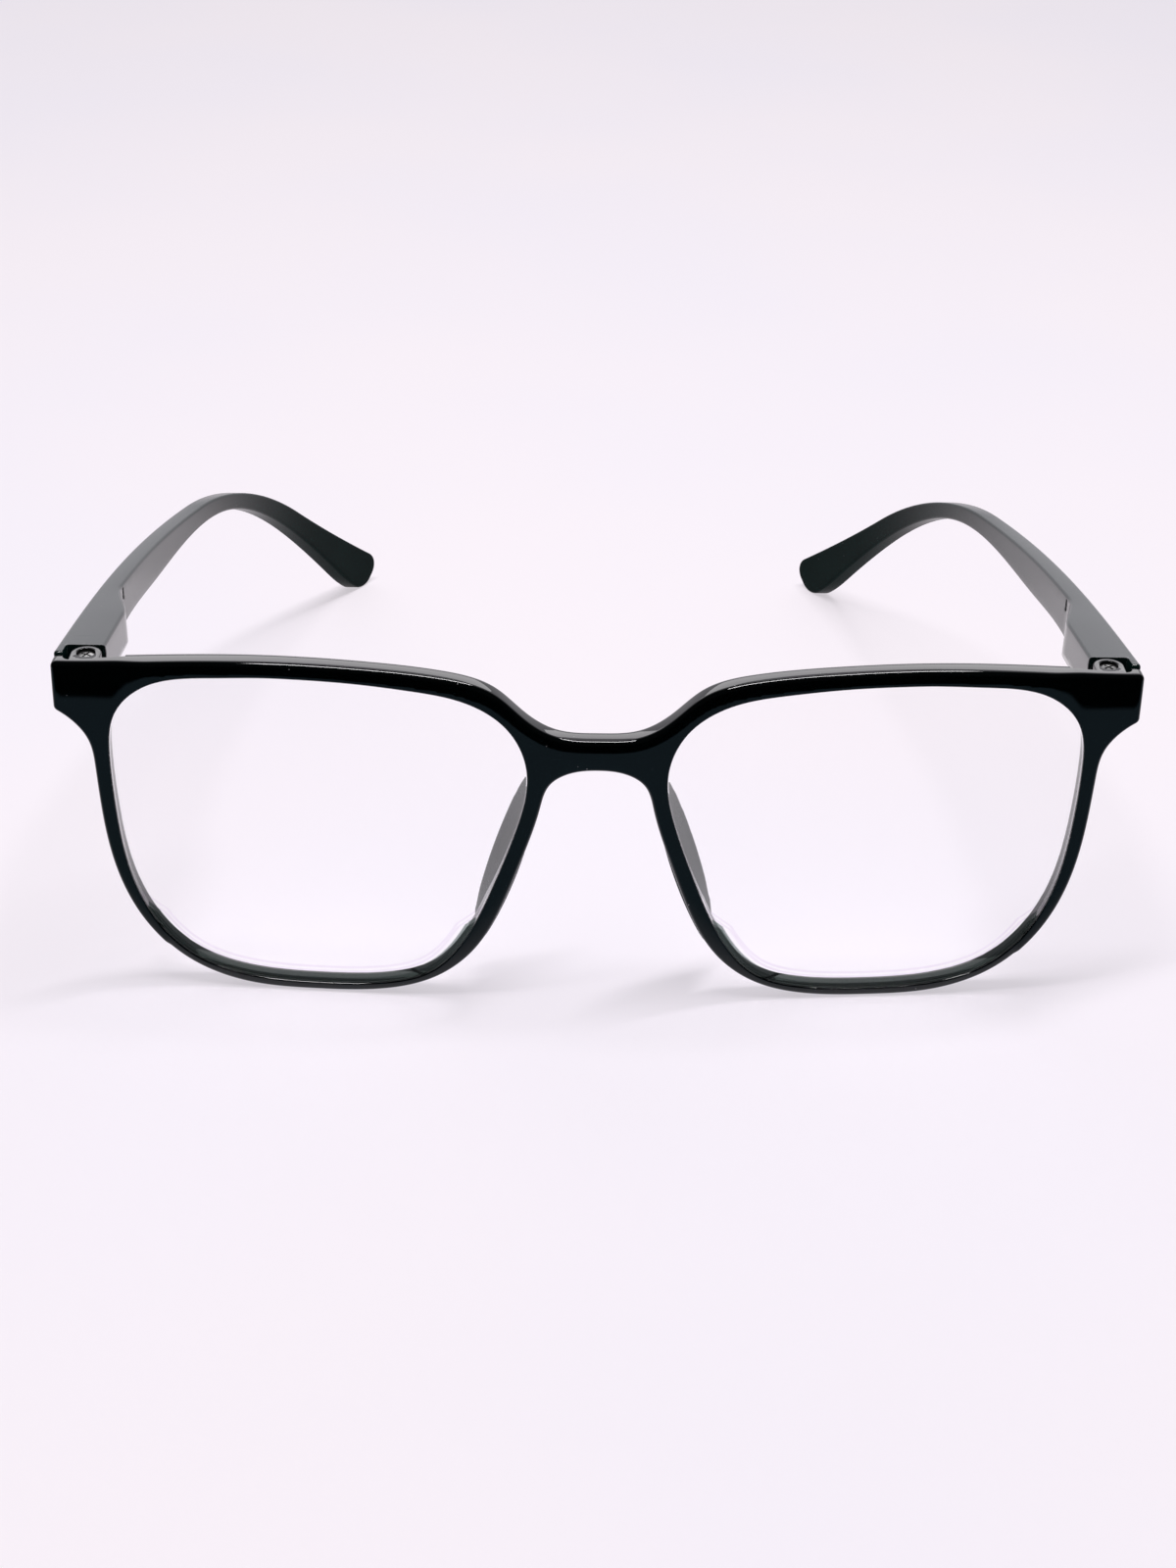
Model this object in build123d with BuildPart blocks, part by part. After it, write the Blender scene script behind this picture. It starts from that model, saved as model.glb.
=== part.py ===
from build123d import *
from math import cos, radians, sin
import os

# Square eyeglasses: a moulded full-rim front, two lenses and two temples that fold on
# screwed three-knuckle hinges.
# Millimetres. X runs to the right as the front faces the viewer, Y runs from the front
# towards the temple tips and Z is up. The glasses stand open on their rims and temple tips,
# and the origin is the middle of their footprint. Sizes along Y are counted from the
# foremost point of the bridge. Left and right are the viewer's.

# Lens openings and the rims round them
lens_distance = 18.3
opening_width = 53.85
opening_height = 46.05
nasal_rim = 2.3
temporal_rim = 2.1
brow_rim = 2.05
low_rim = 1.3
rim_depth = 3.3
face_bevel = 0.3
opening_bevel = 0.15
rear_bevel_inward = 0.55
rear_bevel_forward = 1.0

# Bow of the front, seen from above
bow_sag = 4.5

# Bridge and end pieces
bridge_drop = 9.8
bridge_height = 4.4
end_overhang = 4.7
end_drop = 1.85
end_height = 6.55
end_corner = 0.8

# Nose pads, moulded on the rims
pad_reach = 5.2
pad_splay = 2.2
pad_root_sink = 1.0
pad_end_shrink = 3.0
pad_nose_bulge = 1.6
pad_lens_bulge = 1.9
pad_rear_bulge = 0.95
pad_rounding = 0.6

# Lenses and their grooves
groove_depth = 0.5
groove_width = 0.75
groove_setback = 0.8
lens_thickness = 1.4
lens_setback = 0.5
lens_clearance = 0.06
ridge_height = 0.4
ridge_width = 0.6

# Hinges
pin_inset = 4.1
pin_setback = 0.8
knuckle_radius = 1.95
lug_drop = 0.1
lug_thickness = 2.05
tongue_thickness = 2.0
tongue_gap = 0.1
seat_width = 9.6
seat_depth = 1.7
seat_reach_down = 0.6
seat_corner = 1.2
lip_width = 1.4
lip_trim = 0.4
lip_gap = 0.1
pocket_gap = 0.25
pocket_wall = 1.15

# Hinge screws and their thread bushes
shank_diameter = 1.4
shank_clearance = 0.04
screw_head_diameter = 2.4
screw_head_height = 0.6
head_recess_depth = 0.85
head_recess_clearance = 0.1
cross_length = 1.5
cross_width = 0.28
cross_depth = 0.3
bush_diameter = 2.4
bush_length = 1.6
bush_clearance = 0.02
screw_end_margin = 0.15

# Temples from the side
temple_rise = 0.35
head_height = 6.9
head_run = 20.0
paddle_height = 8.9
arm_fall = 8.5
straight_run = 72.0
ear_radius = 84.0
ear_turn = 32.0
tip_low_radius = 2.6
tip_high_radius = 3.2

# Temples from above
head_side_gap = 0.05
head_width = 6.15
head_length = 16.5
neck_run = 13.0
neck_thickness = 2.95
tip_thickness = 2.4
bow_lean = 1.6
bow_inset = 26.4
edge_bevel = 0.5
head_draft_width = 1.2
head_draft_height = 2.4

# Small slot in the inner face of each temple, behind the neck
slot_behind_neck = 0.2
slot_width = 0.5
slot_height = 1.5
slot_depth = 0.6
slot_below_top = 0.45

# One overrun serves every cut
overrun = 2.0

# Outline of the right lens opening, as shares of its width and height, from the middle
# of the brow to the nose, round the bottom and up the temple side
opening_shares = (
    (0.590, 1.000), (0.400, 0.993), (0.270, 0.977), (0.149, 0.947), (0.049, 0.869), (0.000, 0.736),
    (0.021, 0.558), (0.081, 0.354), (0.157, 0.159), (0.235, 0.056), (0.359, 0.009),
    (0.517, 0.000), (0.684, 0.012), (0.822, 0.067), (0.918, 0.182), (0.974, 0.345),
    (0.996, 0.547), (1.000, 0.721), (0.980, 0.858), (0.903, 0.951), (0.731, 0.992),
)
sill_place = 11
outline_steps = 8

# Outline of the right rim, as shares of the rim's width and of the front's height
brow_shares = (
    (0.042, 0.860), (0.109, 0.931), (0.226, 0.975), (0.397, 0.994), (0.586, 1.000), (0.844, 0.985),
)
low_shares = (
    (1.000, 0.668), (0.994, 0.526), (0.974, 0.360), (0.923, 0.206), (0.818, 0.073),
    (0.672, 0.009), (0.518, 0.000), (0.372, 0.009), (0.257, 0.049), (0.167, 0.134),
    (0.094, 0.289), (0.049, 0.437), (0.009, 0.593),
)
foot_place = 6

# Shoulder of the bridge: share of half the lens distance, share of the rise to the brow
shoulder_share = (0.570, 0.046)

# Arch under the bridge: shares of half the lens distance and of the arch's height
arch_shares = ((0.656, 0.940), (0.350, 0.989))

# Notch under an end piece: shares of its overhang past the rim and of the notch's height
notch_shares = ((0.489, 0.790), (0.138, 0.500))

# Slopes of the brow and of the notch where they reach the end piece
end_slope_share = 0.05
notch_slope_share = 0.50

# Tips of a nose pad's root, as shares of the lens opening's width and height
pad_top_share = (-0.023, 0.678)
pad_low_share = (0.105, 0.228)

# Stages of a pad from root to rear: share of its reach and share of its full section there
pad_stage_shares = ((0.00, 1.00), (0.45, 1.00), (0.86, 0.92), (1.00, 0.60))

# Places along a pad's chord and the share of its bulge there
pad_side_shares = ((0.20, 0.62), (0.50, 1.00), (0.80, 0.62))

# Height of a temple: share of its length along the top edge, share of the paddle's height
height_shares = (
    (0.230, 0.663), (0.360, 0.590), (0.480, 0.410), (0.610, 0.290), (0.735, 0.455), (0.850, 0.680),
)

# The plan curve of a temple runs on past its tip, where the side view cuts it
plan_run_share = 1.04
plan_steps = 6

# Sizes that follow from the ones above
front_height = low_rim + opening_height + brow_rim
opening_inner = lens_distance / 2
rim_inner = opening_inner - nasal_rim
rim_width = nasal_rim + opening_width + temporal_rim
half_front = rim_inner + rim_width + end_overhang
bow_radius = (half_front**2 + bow_sag**2) / (2 * bow_sag)
bridge_top = front_height - bridge_drop
bridge_arch = bridge_top - bridge_height
end_top = front_height - end_drop
end_low = end_top - end_height
rim_pad_root = rim_depth - pad_root_sink
lip_rear = bow_sag + rim_depth - lip_trim
seat_rear = lip_rear - seat_depth
seat_inner = half_front - seat_width
seat_low = end_low - seat_reach_down
pin_x = half_front - pin_inset
pin_y = lip_rear + pin_setback
lug_top = end_top - lug_drop
temple_top = end_top + temple_rise
head_front = lip_rear + lip_gap
head_outer = half_front - head_side_gap
head_inner = head_outer - head_width
neck_start = head_front + head_length
neck_end = neck_start + neck_run
slot_place = neck_end + slot_behind_neck
pocket_rear = pin_y + knuckle_radius + pocket_gap
lip_inner = half_front - lip_width
upper_lug_low = lug_top - lug_thickness
tongue_low = upper_lug_low - tongue_gap - tongue_thickness
lower_lug_top = tongue_low - tongue_gap
lower_lug_low = lower_lug_top - lug_thickness
screw_head_low = lug_top - head_recess_depth
shank_hole = shank_diameter + 2 * shank_clearance
head_recess = screw_head_diameter + 2 * head_recess_clearance
bush_hole = bush_diameter + 2 * bush_clearance

# Top edge of a temple: a straight arm, a bend over the ear and a straight tail
fall = radians(arm_fall)
tail_heading = radians(arm_fall + ear_turn)
ear_run = ear_radius * radians(ear_turn)
ear_end_drop = straight_run * sin(fall) + ear_radius * (cos(fall) - cos(tail_heading))
tip_rise = paddle_height * cos(tail_heading) + tip_low_radius * (1 - sin(tail_heading) - cos(tail_heading))
tail_run = (temple_top - ear_end_drop - tip_rise) / sin(tail_heading)
temple_run = straight_run + ear_run + tail_run


def top_edge(run, depth=0):
    """The point a depth square below a temple's top edge, a run along it from the hinge."""
    heading = fall + min(max(run - straight_run, 0), ear_run) / ear_radius
    ahead = min(run, straight_run)
    tail = max(run - straight_run - ear_run, 0)
    y = head_front + ahead * cos(fall) + ear_radius * (sin(heading) - sin(fall)) + tail * cos(heading)
    z = temple_top - ahead * sin(fall) - ear_radius * (cos(fall) - cos(heading)) - tail * sin(heading)
    return y - depth * sin(heading), z - depth * cos(heading)


temple_rear = top_edge(temple_run)[0] + tip_high_radius * (1 - cos(tail_heading) - sin(tail_heading))
temple_reach = temple_rear - head_front
front_y = -temple_rear / 2

# Views of the object, each with the foremost point of the bridge at its start
plan_view = Plane((0, front_y, 0))
front_view = Plane((0, front_y, 0), x_dir=(1, 0, 0), z_dir=(0, -1, 0))
side_view = Plane((0, front_y, 0), x_dir=(0, 1, 0), z_dir=(1, 0, 0))

# View along the right temple's head from its lower inner corner
head_end_view = Plane(
    (head_inner, front_y + head_front, temple_top - head_height / cos(fall)),
    x_dir=(-1, 0, 0),
    z_dir=(0, cos(fall), -sin(fall)),
)


def bow_y(x, setback):
    """How far behind the bridge the bowed front's face, or a layer behind it, lies at x."""
    return bow_radius - ((bow_radius - setback) ** 2 - x**2) ** 0.5


def opening_point(across, up):
    """A point of the right lens opening's box."""
    return opening_inner + across * opening_width, low_rim + up * opening_height


def rim_point(across, up):
    """A point of the right rim's box."""
    return rim_inner + across * rim_width, up * front_height


def notch_point(across, up):
    """A point of the notch between the right end piece and the rim under it."""
    side, foot = rim_point(*low_shares[0])
    return side + across * (half_front - side), foot + up * (end_low - foot)


def draw_curve(points, start_heading, end_heading):
    """Draws a smooth curve through points that starts and ends along the given headings."""
    Spline(points, tangents=[start_heading, end_heading], tangent_scalars=(1, 1))


def draw_front_half():
    """Draws the outline of the front to the right of its middle."""
    shoulder = (
        shoulder_share[0] * opening_inner,
        bridge_top + shoulder_share[1] * (front_height - bridge_top),
    )
    brow = [rim_point(*share) for share in brow_shares]
    notch = [notch_point(*share) for share in notch_shares]
    foot_side = [rim_point(*share) for share in low_shares[:foot_place]]
    nose_side = [rim_point(*share) for share in low_shares[foot_place + 1:]]
    foot = rim_point(*low_shares[foot_place])
    arch = [(across * opening_inner, up * bridge_arch) for across, up in arch_shares]
    top_start, top_end = (0, bridge_top), (half_front, end_top)
    low_start, low_end = (half_front, end_low), (0, bridge_arch)
    draw_curve([top_start, shoulder, *brow, top_end], (1, 0), (1, -end_slope_share))
    Line(top_end, low_start)
    draw_curve([low_start, *notch, *foot_side, foot], (-1, -notch_slope_share), (-1, 0))
    draw_curve([foot, *nose_side, *arch, low_end], (-1, 0), (-1, 0))
    Line(low_end, top_start)


def draw_opening(growth=0):
    """Draws the right lens opening's outline, or one that lies a growth outside it."""
    points = [opening_point(*share) for share in opening_shares]
    nose_side = Spline(
        points[: sill_place + 1], tangents=[(-1, 0), (1, 0)], tangent_scalars=(1, 1), mode=Mode.PRIVATE
    )
    temple_side = Spline(
        [*points[sill_place:], points[0]], tangents=[(1, 0), (-1, 0)], tangent_scalars=(1, 1), mode=Mode.PRIVATE
    )
    for side in (nose_side, temple_side):
        places = [side @ (step / outline_steps) for step in range(outline_steps + 1)]
        headings = [side % (step / outline_steps) for step in range(outline_steps + 1)]
        grown = [place + Vector(along.Y, -along.X) * growth for place, along in zip(places, headings)]
        draw_curve(grown, headings[0], headings[-1])


def draw_bowed_layer(setback, thickness):
    """Draws the plan section of a bowed layer that lies a setback behind the front's face."""
    side = half_front + overrun
    near, far = bow_y(side, setback), bow_y(side, setback + thickness)
    ThreePointArc((-side, near), (0, setback), (side, near))
    Line((side, near), (side, far))
    ThreePointArc((side, far), (0, setback + thickness), (-side, far))
    Line((-side, far), (-side, near))


def draw_knuckle(stem_end):
    """Draws a hinge knuckle in plan: a round about the pin on a stem as wide."""
    left, right = pin_x - knuckle_radius, pin_x + knuckle_radius
    back = pin_y - knuckle_radius if stem_end > pin_y else pin_y + knuckle_radius
    ThreePointArc((left, pin_y), (pin_x, back), (right, pin_y))
    Polyline((right, pin_y), (right, stem_end), (left, stem_end), (left, pin_y))


def draw_pad(reach, fullness):
    """Draws the right nose pad's outline at a reach from its root, at 0, to its rear, at 1."""
    top, low = Vector(*opening_point(*pad_top_share)), Vector(*opening_point(*pad_low_share))
    along = (low - top).normalized()
    lensward = Vector(-along.Y, along.X)
    shift = Vector(pad_splay * reach, 0)
    inward = along * (pad_end_shrink * reach + pad_rounding * (1 - fullness))
    top, low = top + inward + shift, low - inward + shift
    nose_bulge = fullness * (pad_nose_bulge + (pad_rear_bulge - pad_nose_bulge) * reach)
    lens_bulge = fullness * (pad_lens_bulge + (pad_rear_bulge - pad_lens_bulge) * reach)
    middle = [(top + (low - top) * run, share) for run, share in pad_side_shares]
    lens_side = [point + lensward * (lens_bulge * share) for point, share in middle]
    nose_side = [point - lensward * (nose_bulge * share) for point, share in reversed(middle)]
    draw_curve([top, *lens_side, low], lensward, -lensward)
    draw_curve([low, *nose_side, top], -lensward, lensward)


def plan_point(share, thickness=0):
    """A point of a temple in plan, at a share of its reach and a thickness inside its outer face."""
    x = head_outer - bow_lean * share - bow_inset * share**3
    slope = (bow_lean + 3 * bow_inset * share**2) / temple_reach
    return x - thickness * (1 + slope**2) ** 0.5, head_front + share * temple_reach


def plan_heading(share):
    """The direction of a temple's outer face in plan, from the hinge towards the tip."""
    return -(bow_lean + 3 * bow_inset * share**2), temple_reach


def draw_temple_plan():
    """Draws a temple from above: a thick head, a neck and a thinner arm that bows inwards."""
    end = plan_run_share
    start = (neck_end - head_front) / temple_reach
    outer_start, outer_end = plan_point(0), plan_point(end)
    third = end * temple_reach / 3
    Bezier(
        outer_start,
        (outer_start[0] - bow_lean * end / 3, outer_start[1] + third),
        (outer_start[0] - 2 * bow_lean * end / 3, outer_start[1] + 2 * third),
        outer_end,
    )
    steps = [start + (end - start) * step / plan_steps for step in range(plan_steps + 1)]
    taper = (neck_thickness - tip_thickness) / (end - start)
    inner = [plan_point(step, neck_thickness - taper * (step - start)) for step in steps]
    back_heading = [(-x, -y) for x, y in (plan_heading(end), plan_heading(start))]
    Line(outer_end, inner[-1])
    draw_curve(inner[::-1], *back_heading)
    draw_curve([inner[0], (head_inner, neck_start)], back_heading[1], (0, -1))
    Polyline((head_inner, neck_start), (head_inner, head_front), outer_start)


def draw_temple_side():
    """Draws a temple from the side: its top edge, its rounded tip and its waisted lower edge."""
    ear_end = straight_run + ear_run
    Line(top_edge(0), top_edge(straight_run))
    ThreePointArc(top_edge(straight_run), top_edge(straight_run + ear_run / 2), top_edge(ear_end))
    high_start = top_edge(temple_run - tip_high_radius)
    high_end = top_edge(temple_run, tip_high_radius)
    low_start = top_edge(temple_run, paddle_height - tip_low_radius)
    low_end = top_edge(temple_run - tip_low_radius, paddle_height)
    Line(top_edge(ear_end), high_start)
    RadiusArc(high_start, high_end, tip_high_radius)
    Line(high_end, low_start)
    RadiusArc(low_start, low_end, tip_low_radius)
    low = [top_edge(run * temple_run, height * paddle_height) for run, height in reversed(height_shares)]
    head_end, head_start = top_edge(head_run, head_height), top_edge(0, head_height)
    head_heading = (-cos(fall), sin(fall))
    draw_curve([low_end, *low, head_end], (-cos(tail_heading), sin(tail_heading)), head_heading)
    Polyline(head_end, (head_front, head_start[1]), top_edge(0))


# Layer of the front that the lens grooves are cut in
with BuildPart() as groove_layer:
    with BuildSketch(front_view):
        with BuildLine():
            draw_opening(groove_depth)
        make_face()
    extrude(amount=-(bow_sag + rim_depth))
    with BuildSketch(plan_view.offset(-overrun)):
        with BuildLine():
            draw_bowed_layer(groove_setback, groove_width)
        make_face()
    extrude(amount=front_height + 2 * overrun, mode=Mode.INTERSECT)

# Front, right half first: rim, half the bridge and the end piece in one bowed layer,
# with the nose pad, the hinge lugs and the recess for the temple's head
with BuildPart() as front_frame:
    with BuildSketch(front_view):
        with BuildLine():
            draw_front_half()
        make_face()
        fillet(vertices().group_by(Axis.X)[-1], radius=end_corner)
        with BuildLine():
            draw_opening()
        make_face(mode=Mode.SUBTRACT)
    extrude(amount=-(bow_sag + rim_depth + overrun))
    with BuildSketch(plan_view.offset(-overrun)):
        with BuildLine():
            draw_bowed_layer(0, rim_depth)
        make_face()
    extrude(amount=front_height + 2 * overrun, mode=Mode.INTERSECT)
    front, back = faces().filter_by(GeomType.CYLINDER).sort_by(SortBy.AREA)[-2:].sort_by(Axis.Y)
    back_edges = back.outer_wire().edges().sort_by(Axis.X)[1:]
    chamfer(back_edges, length=rear_bevel_inward, length2=rear_bevel_forward, reference=back)
    front, back = faces().filter_by(GeomType.CYLINDER).sort_by(SortBy.AREA)[-2:].sort_by(Axis.Y)
    chamfer(front.outer_wire().edges().sort_by(Axis.X)[1:], length=face_bevel)
    front, back = faces().filter_by(GeomType.CYLINDER).sort_by(SortBy.AREA)[-2:].sort_by(Axis.Y)
    chamfer(front.inner_wires()[0].edges() + back.inner_wires()[0].edges(), length=opening_bevel)
    add(groove_layer.part, mode=Mode.SUBTRACT)

    # Nose pad, which flares back and away from the nose
    for reach, fullness in pad_stage_shares:
        with BuildSketch(front_view.offset(-rim_pad_root - reach * (pad_root_sink + pad_reach))):
            with BuildLine():
                draw_pad(reach, fullness)
            make_face()
    loft(ruled=True)

    # Recess behind the end piece, with a lip at its outer side
    with BuildSketch(plan_view.offset(seat_low)):
        with BuildLine():
            side, far = half_front + overrun, lip_rear + overrun
            Polyline((seat_inner, seat_rear), (lip_inner, seat_rear), (lip_inner, lip_rear), (side, lip_rear))
            Polyline((side, lip_rear), (side, far), (seat_inner, far), (seat_inner, seat_rear))
        make_face()
        fillet(vertices().group_by(Axis.Y)[0], radius=seat_corner)
    extrude(amount=front_height - seat_low + overrun, mode=Mode.SUBTRACT)

    # Upper and lower hinge lugs
    for low in (lower_lug_low, upper_lug_low):
        with BuildSketch(plan_view.offset(low)):
            with BuildLine():
                draw_knuckle(seat_rear - face_bevel)
            make_face()
        extrude(amount=lug_thickness)

    # Screw hole through both lugs, recess for the screw's head and seat of the bush
    with BuildSketch(plan_view.offset(lug_top)):
        with Locations((pin_x, pin_y)):
            Circle(shank_hole / 2)
    extrude(amount=-(lug_top - lower_lug_low), mode=Mode.SUBTRACT)
    with BuildSketch(plan_view.offset(lug_top)):
        with Locations((pin_x, pin_y)):
            Circle(head_recess / 2)
    extrude(amount=-head_recess_depth, mode=Mode.SUBTRACT)
    with BuildSketch(plan_view.offset(lower_lug_low)):
        with Locations((pin_x, pin_y)):
            Circle(bush_hole / 2)
    extrude(amount=bush_length, mode=Mode.SUBTRACT)
    mirror(about=Plane.YZ)

# Ridge round the right lens, which sits in the groove
with BuildPart() as lens_ridge:
    with BuildSketch(front_view):
        with BuildLine():
            draw_opening(ridge_height - lens_clearance)
        make_face()
    extrude(amount=-(bow_sag + rim_depth))
    with BuildSketch(plan_view.offset(-overrun)):
        with BuildLine():
            draw_bowed_layer(groove_setback + (groove_width - ridge_width) / 2, ridge_width)
        make_face()
    extrude(amount=front_height + 2 * overrun, mode=Mode.INTERSECT)

# Right lens, bowed like the front, with its ridge
with BuildPart() as lens_right:
    with BuildSketch(front_view):
        with BuildLine():
            draw_opening(-lens_clearance)
        make_face()
    extrude(amount=-(bow_sag + rim_depth))
    with BuildSketch(plan_view.offset(-overrun)):
        with BuildLine():
            draw_bowed_layer(lens_setback, lens_thickness)
        make_face()
    extrude(amount=front_height + 2 * overrun, mode=Mode.INTERSECT)
    add(lens_ridge.part)

# Right temple's plan shape
with BuildPart() as temple_plan:
    with BuildSketch(plan_view.offset(-overrun)):
        with BuildLine():
            draw_temple_plan()
        make_face()
    extrude(amount=temple_top + 2 * overrun)

# Right temple: its side view and its plan shape cut from one block, with its edges bevelled,
# a pocket for the hinge lugs, the middle knuckle and the slot behind the neck
with BuildPart() as temple_right:
    with BuildSketch(side_view):
        with BuildLine():
            draw_temple_side()
        make_face()
    extrude(amount=half_front + overrun)
    add(temple_plan.part, mode=Mode.INTERSECT)
    chamfer(edges().filter_by(Axis.X, reverse=True).filter_by(Axis.Z, reverse=True), length=edge_bevel)

    # Drafted lower inner edge of the head
    with BuildSketch(head_end_view.offset(-overrun)):
        with BuildLine():
            Polyline((0, head_draft_height), (-head_draft_width, 0), (-head_draft_width, -overrun))
            Polyline((-head_draft_width, -overrun), (overrun, -overrun), (overrun, head_draft_height))
            Line((overrun, head_draft_height), (0, head_draft_height))
        make_face()
    extrude(amount=neck_end - head_front + overrun, mode=Mode.SUBTRACT)

    # Pocket round the hinge lugs, open above, below and inwards
    with BuildSketch(plan_view):
        with BuildLine():
            left, right = head_inner - overrun, head_outer - pocket_wall
            Polyline((left, head_front - overrun), (right, head_front - overrun), (right, pocket_rear))
            Polyline((right, pocket_rear), (left, pocket_rear), (left, head_front - overrun))
        make_face()
    extrude(amount=temple_top + overrun, mode=Mode.SUBTRACT)

    # Middle knuckle, between the lugs
    with BuildSketch(plan_view.offset(tongue_low)):
        with BuildLine():
            draw_knuckle(pocket_rear + pocket_gap)
        make_face()
        with Locations((pin_x, pin_y)):
            Circle(shank_hole / 2, mode=Mode.SUBTRACT)
    extrude(amount=tongue_thickness)

    # Slot behind the neck
    slot_run = (slot_place - head_front) / cos(fall)
    slot_floor = plan_point((slot_place - head_front) / temple_reach, neck_thickness)[0] + slot_depth
    with BuildSketch(side_view.offset(slot_floor)):
        with Locations(top_edge(slot_run, slot_below_top + slot_height / 2)):
            Rectangle(slot_width, slot_height, rotation=-arm_fall)
    extrude(amount=-slot_depth - overrun, mode=Mode.SUBTRACT)

# Hinge screw with a cross recess
with BuildPart() as hinge_screw_right:
    with BuildSketch(plan_view.offset(screw_head_low)):
        with Locations((pin_x, pin_y)):
            Circle(screw_head_diameter / 2)
    extrude(amount=screw_head_height)
    with BuildSketch(plan_view.offset(screw_head_low)):
        with Locations((pin_x, pin_y)):
            Circle(shank_diameter / 2)
    extrude(amount=-(screw_head_low - lower_lug_low - screw_end_margin))
    with BuildSketch(plan_view.offset(screw_head_low + screw_head_height)):
        with Locations((pin_x, pin_y)):
            Rectangle(cross_length, cross_width)
            Rectangle(cross_width, cross_length)
    extrude(amount=-cross_depth, mode=Mode.SUBTRACT)

# Thread bush, pressed into the lower lug from below
with BuildPart() as thread_bush_right:
    with BuildSketch(plan_view.offset(lower_lug_low)):
        with Locations((pin_x, pin_y)):
            Circle(bush_diameter / 2)
            Circle(shank_hole / 2, mode=Mode.SUBTRACT)
    extrude(amount=bush_length)

# The left side mirrors the right one
with BuildPart() as lens_left:
    mirror(lens_right.part, about=Plane.YZ)
with BuildPart() as temple_left:
    mirror(temple_right.part, about=Plane.YZ)
with BuildPart() as hinge_screw_left:
    mirror(hinge_screw_right.part, about=Plane.YZ)
with BuildPart() as thread_bush_left:
    mirror(thread_bush_right.part, about=Plane.YZ)

pieces = {
    "front_frame": front_frame,
    "lens_left": lens_left,
    "lens_right": lens_right,
    "temple_left": temple_left,
    "temple_right": temple_right,
    "hinge_screw_left": hinge_screw_left,
    "hinge_screw_right": hinge_screw_right,
    "thread_bush_left": thread_bush_left,
    "thread_bush_right": thread_bush_right,
}
os.makedirs("parts", exist_ok=True)
for name, piece in pieces.items():
    piece.part.label = name
    export_step(piece.part, f"parts/{name}.step")
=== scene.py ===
"""Square eyeglasses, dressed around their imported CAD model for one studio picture.

Sizes are in millimetres until a mesh is made, and every mesh is in metres. X runs to the right
as the front faces the viewer, Y runs from the front towards the temple tips and Z is up. Left
and right are the viewer's.
"""

import logging
import math
from collections.abc import Callable, Sequence
from dataclasses import dataclass, field
from enum import Enum
from typing import Any

import bmesh
import bpy
import numpy as np
from mathutils import Matrix, Vector
from mathutils.geometry import delaunay_2d_cdt
from mathutils.kdtree import KDTree


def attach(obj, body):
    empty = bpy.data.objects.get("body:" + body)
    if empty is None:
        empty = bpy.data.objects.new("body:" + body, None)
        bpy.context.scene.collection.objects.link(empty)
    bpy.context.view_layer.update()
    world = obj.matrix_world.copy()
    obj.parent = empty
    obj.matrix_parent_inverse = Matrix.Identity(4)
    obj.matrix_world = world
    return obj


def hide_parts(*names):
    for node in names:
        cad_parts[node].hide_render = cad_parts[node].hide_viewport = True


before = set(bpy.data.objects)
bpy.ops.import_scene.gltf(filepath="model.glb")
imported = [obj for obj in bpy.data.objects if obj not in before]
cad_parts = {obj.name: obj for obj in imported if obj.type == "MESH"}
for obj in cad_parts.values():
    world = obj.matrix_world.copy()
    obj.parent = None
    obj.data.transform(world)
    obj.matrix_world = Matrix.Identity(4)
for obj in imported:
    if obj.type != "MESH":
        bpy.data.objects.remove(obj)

MM = 0.001
# The longest steps between the samples of rounds, straights and cutters, in millimetres.
ROUND_PITCH, LINE_PITCH, CUTTER_PITCH = 0.12, 0.5, 0.4
# How far a cutter reaches past the piece that it cuts, in millimetres.
OVERRUN, LONG_OVERRUN = 2.0, 3.0
# How far past a corner's rounding a run's points are dropped, as a share of the rounding's reach.
CORNER_SPARE = 1.05
# Points nearer than these are one point: on a loop in millimetres, and in a mesh.
TOUCHING, SAME_POINT = 1e-4, 1e-7
# Inner points keep this share of the pitch from the border, and thinner triangles are dropped.
BORDER_SHARE, THIN_AREA = 0.7, 1e-5
# The angles in degrees over which a cut edge is softened, and an edge is shaded sharp.
SOFTEN_ANGLE, SHARP_ANGLE = 40, 42
# The corners of a square about the origin, in order.
BOX = ((-1, -1), (1, -1), (1, 1), (-1, 1))
LOG = logging.getLogger("eyeglasses")
Pair = tuple[float, float]
Triple = tuple[float, float, float]
Colour = Triple


class Side(Enum):
    """The two halves of the glasses, each with the sign of its X."""

    LEFT = -1
    RIGHT = 1

    @property
    def word(self) -> str:
        """The side's name in piece names."""
        return self.name.lower()


class Face(Enum):
    """The two faces of a slab, the near one first."""

    NEAR = 0
    FAR = 1


# ---- Curves -------------------------------------------------------------------------------


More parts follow.
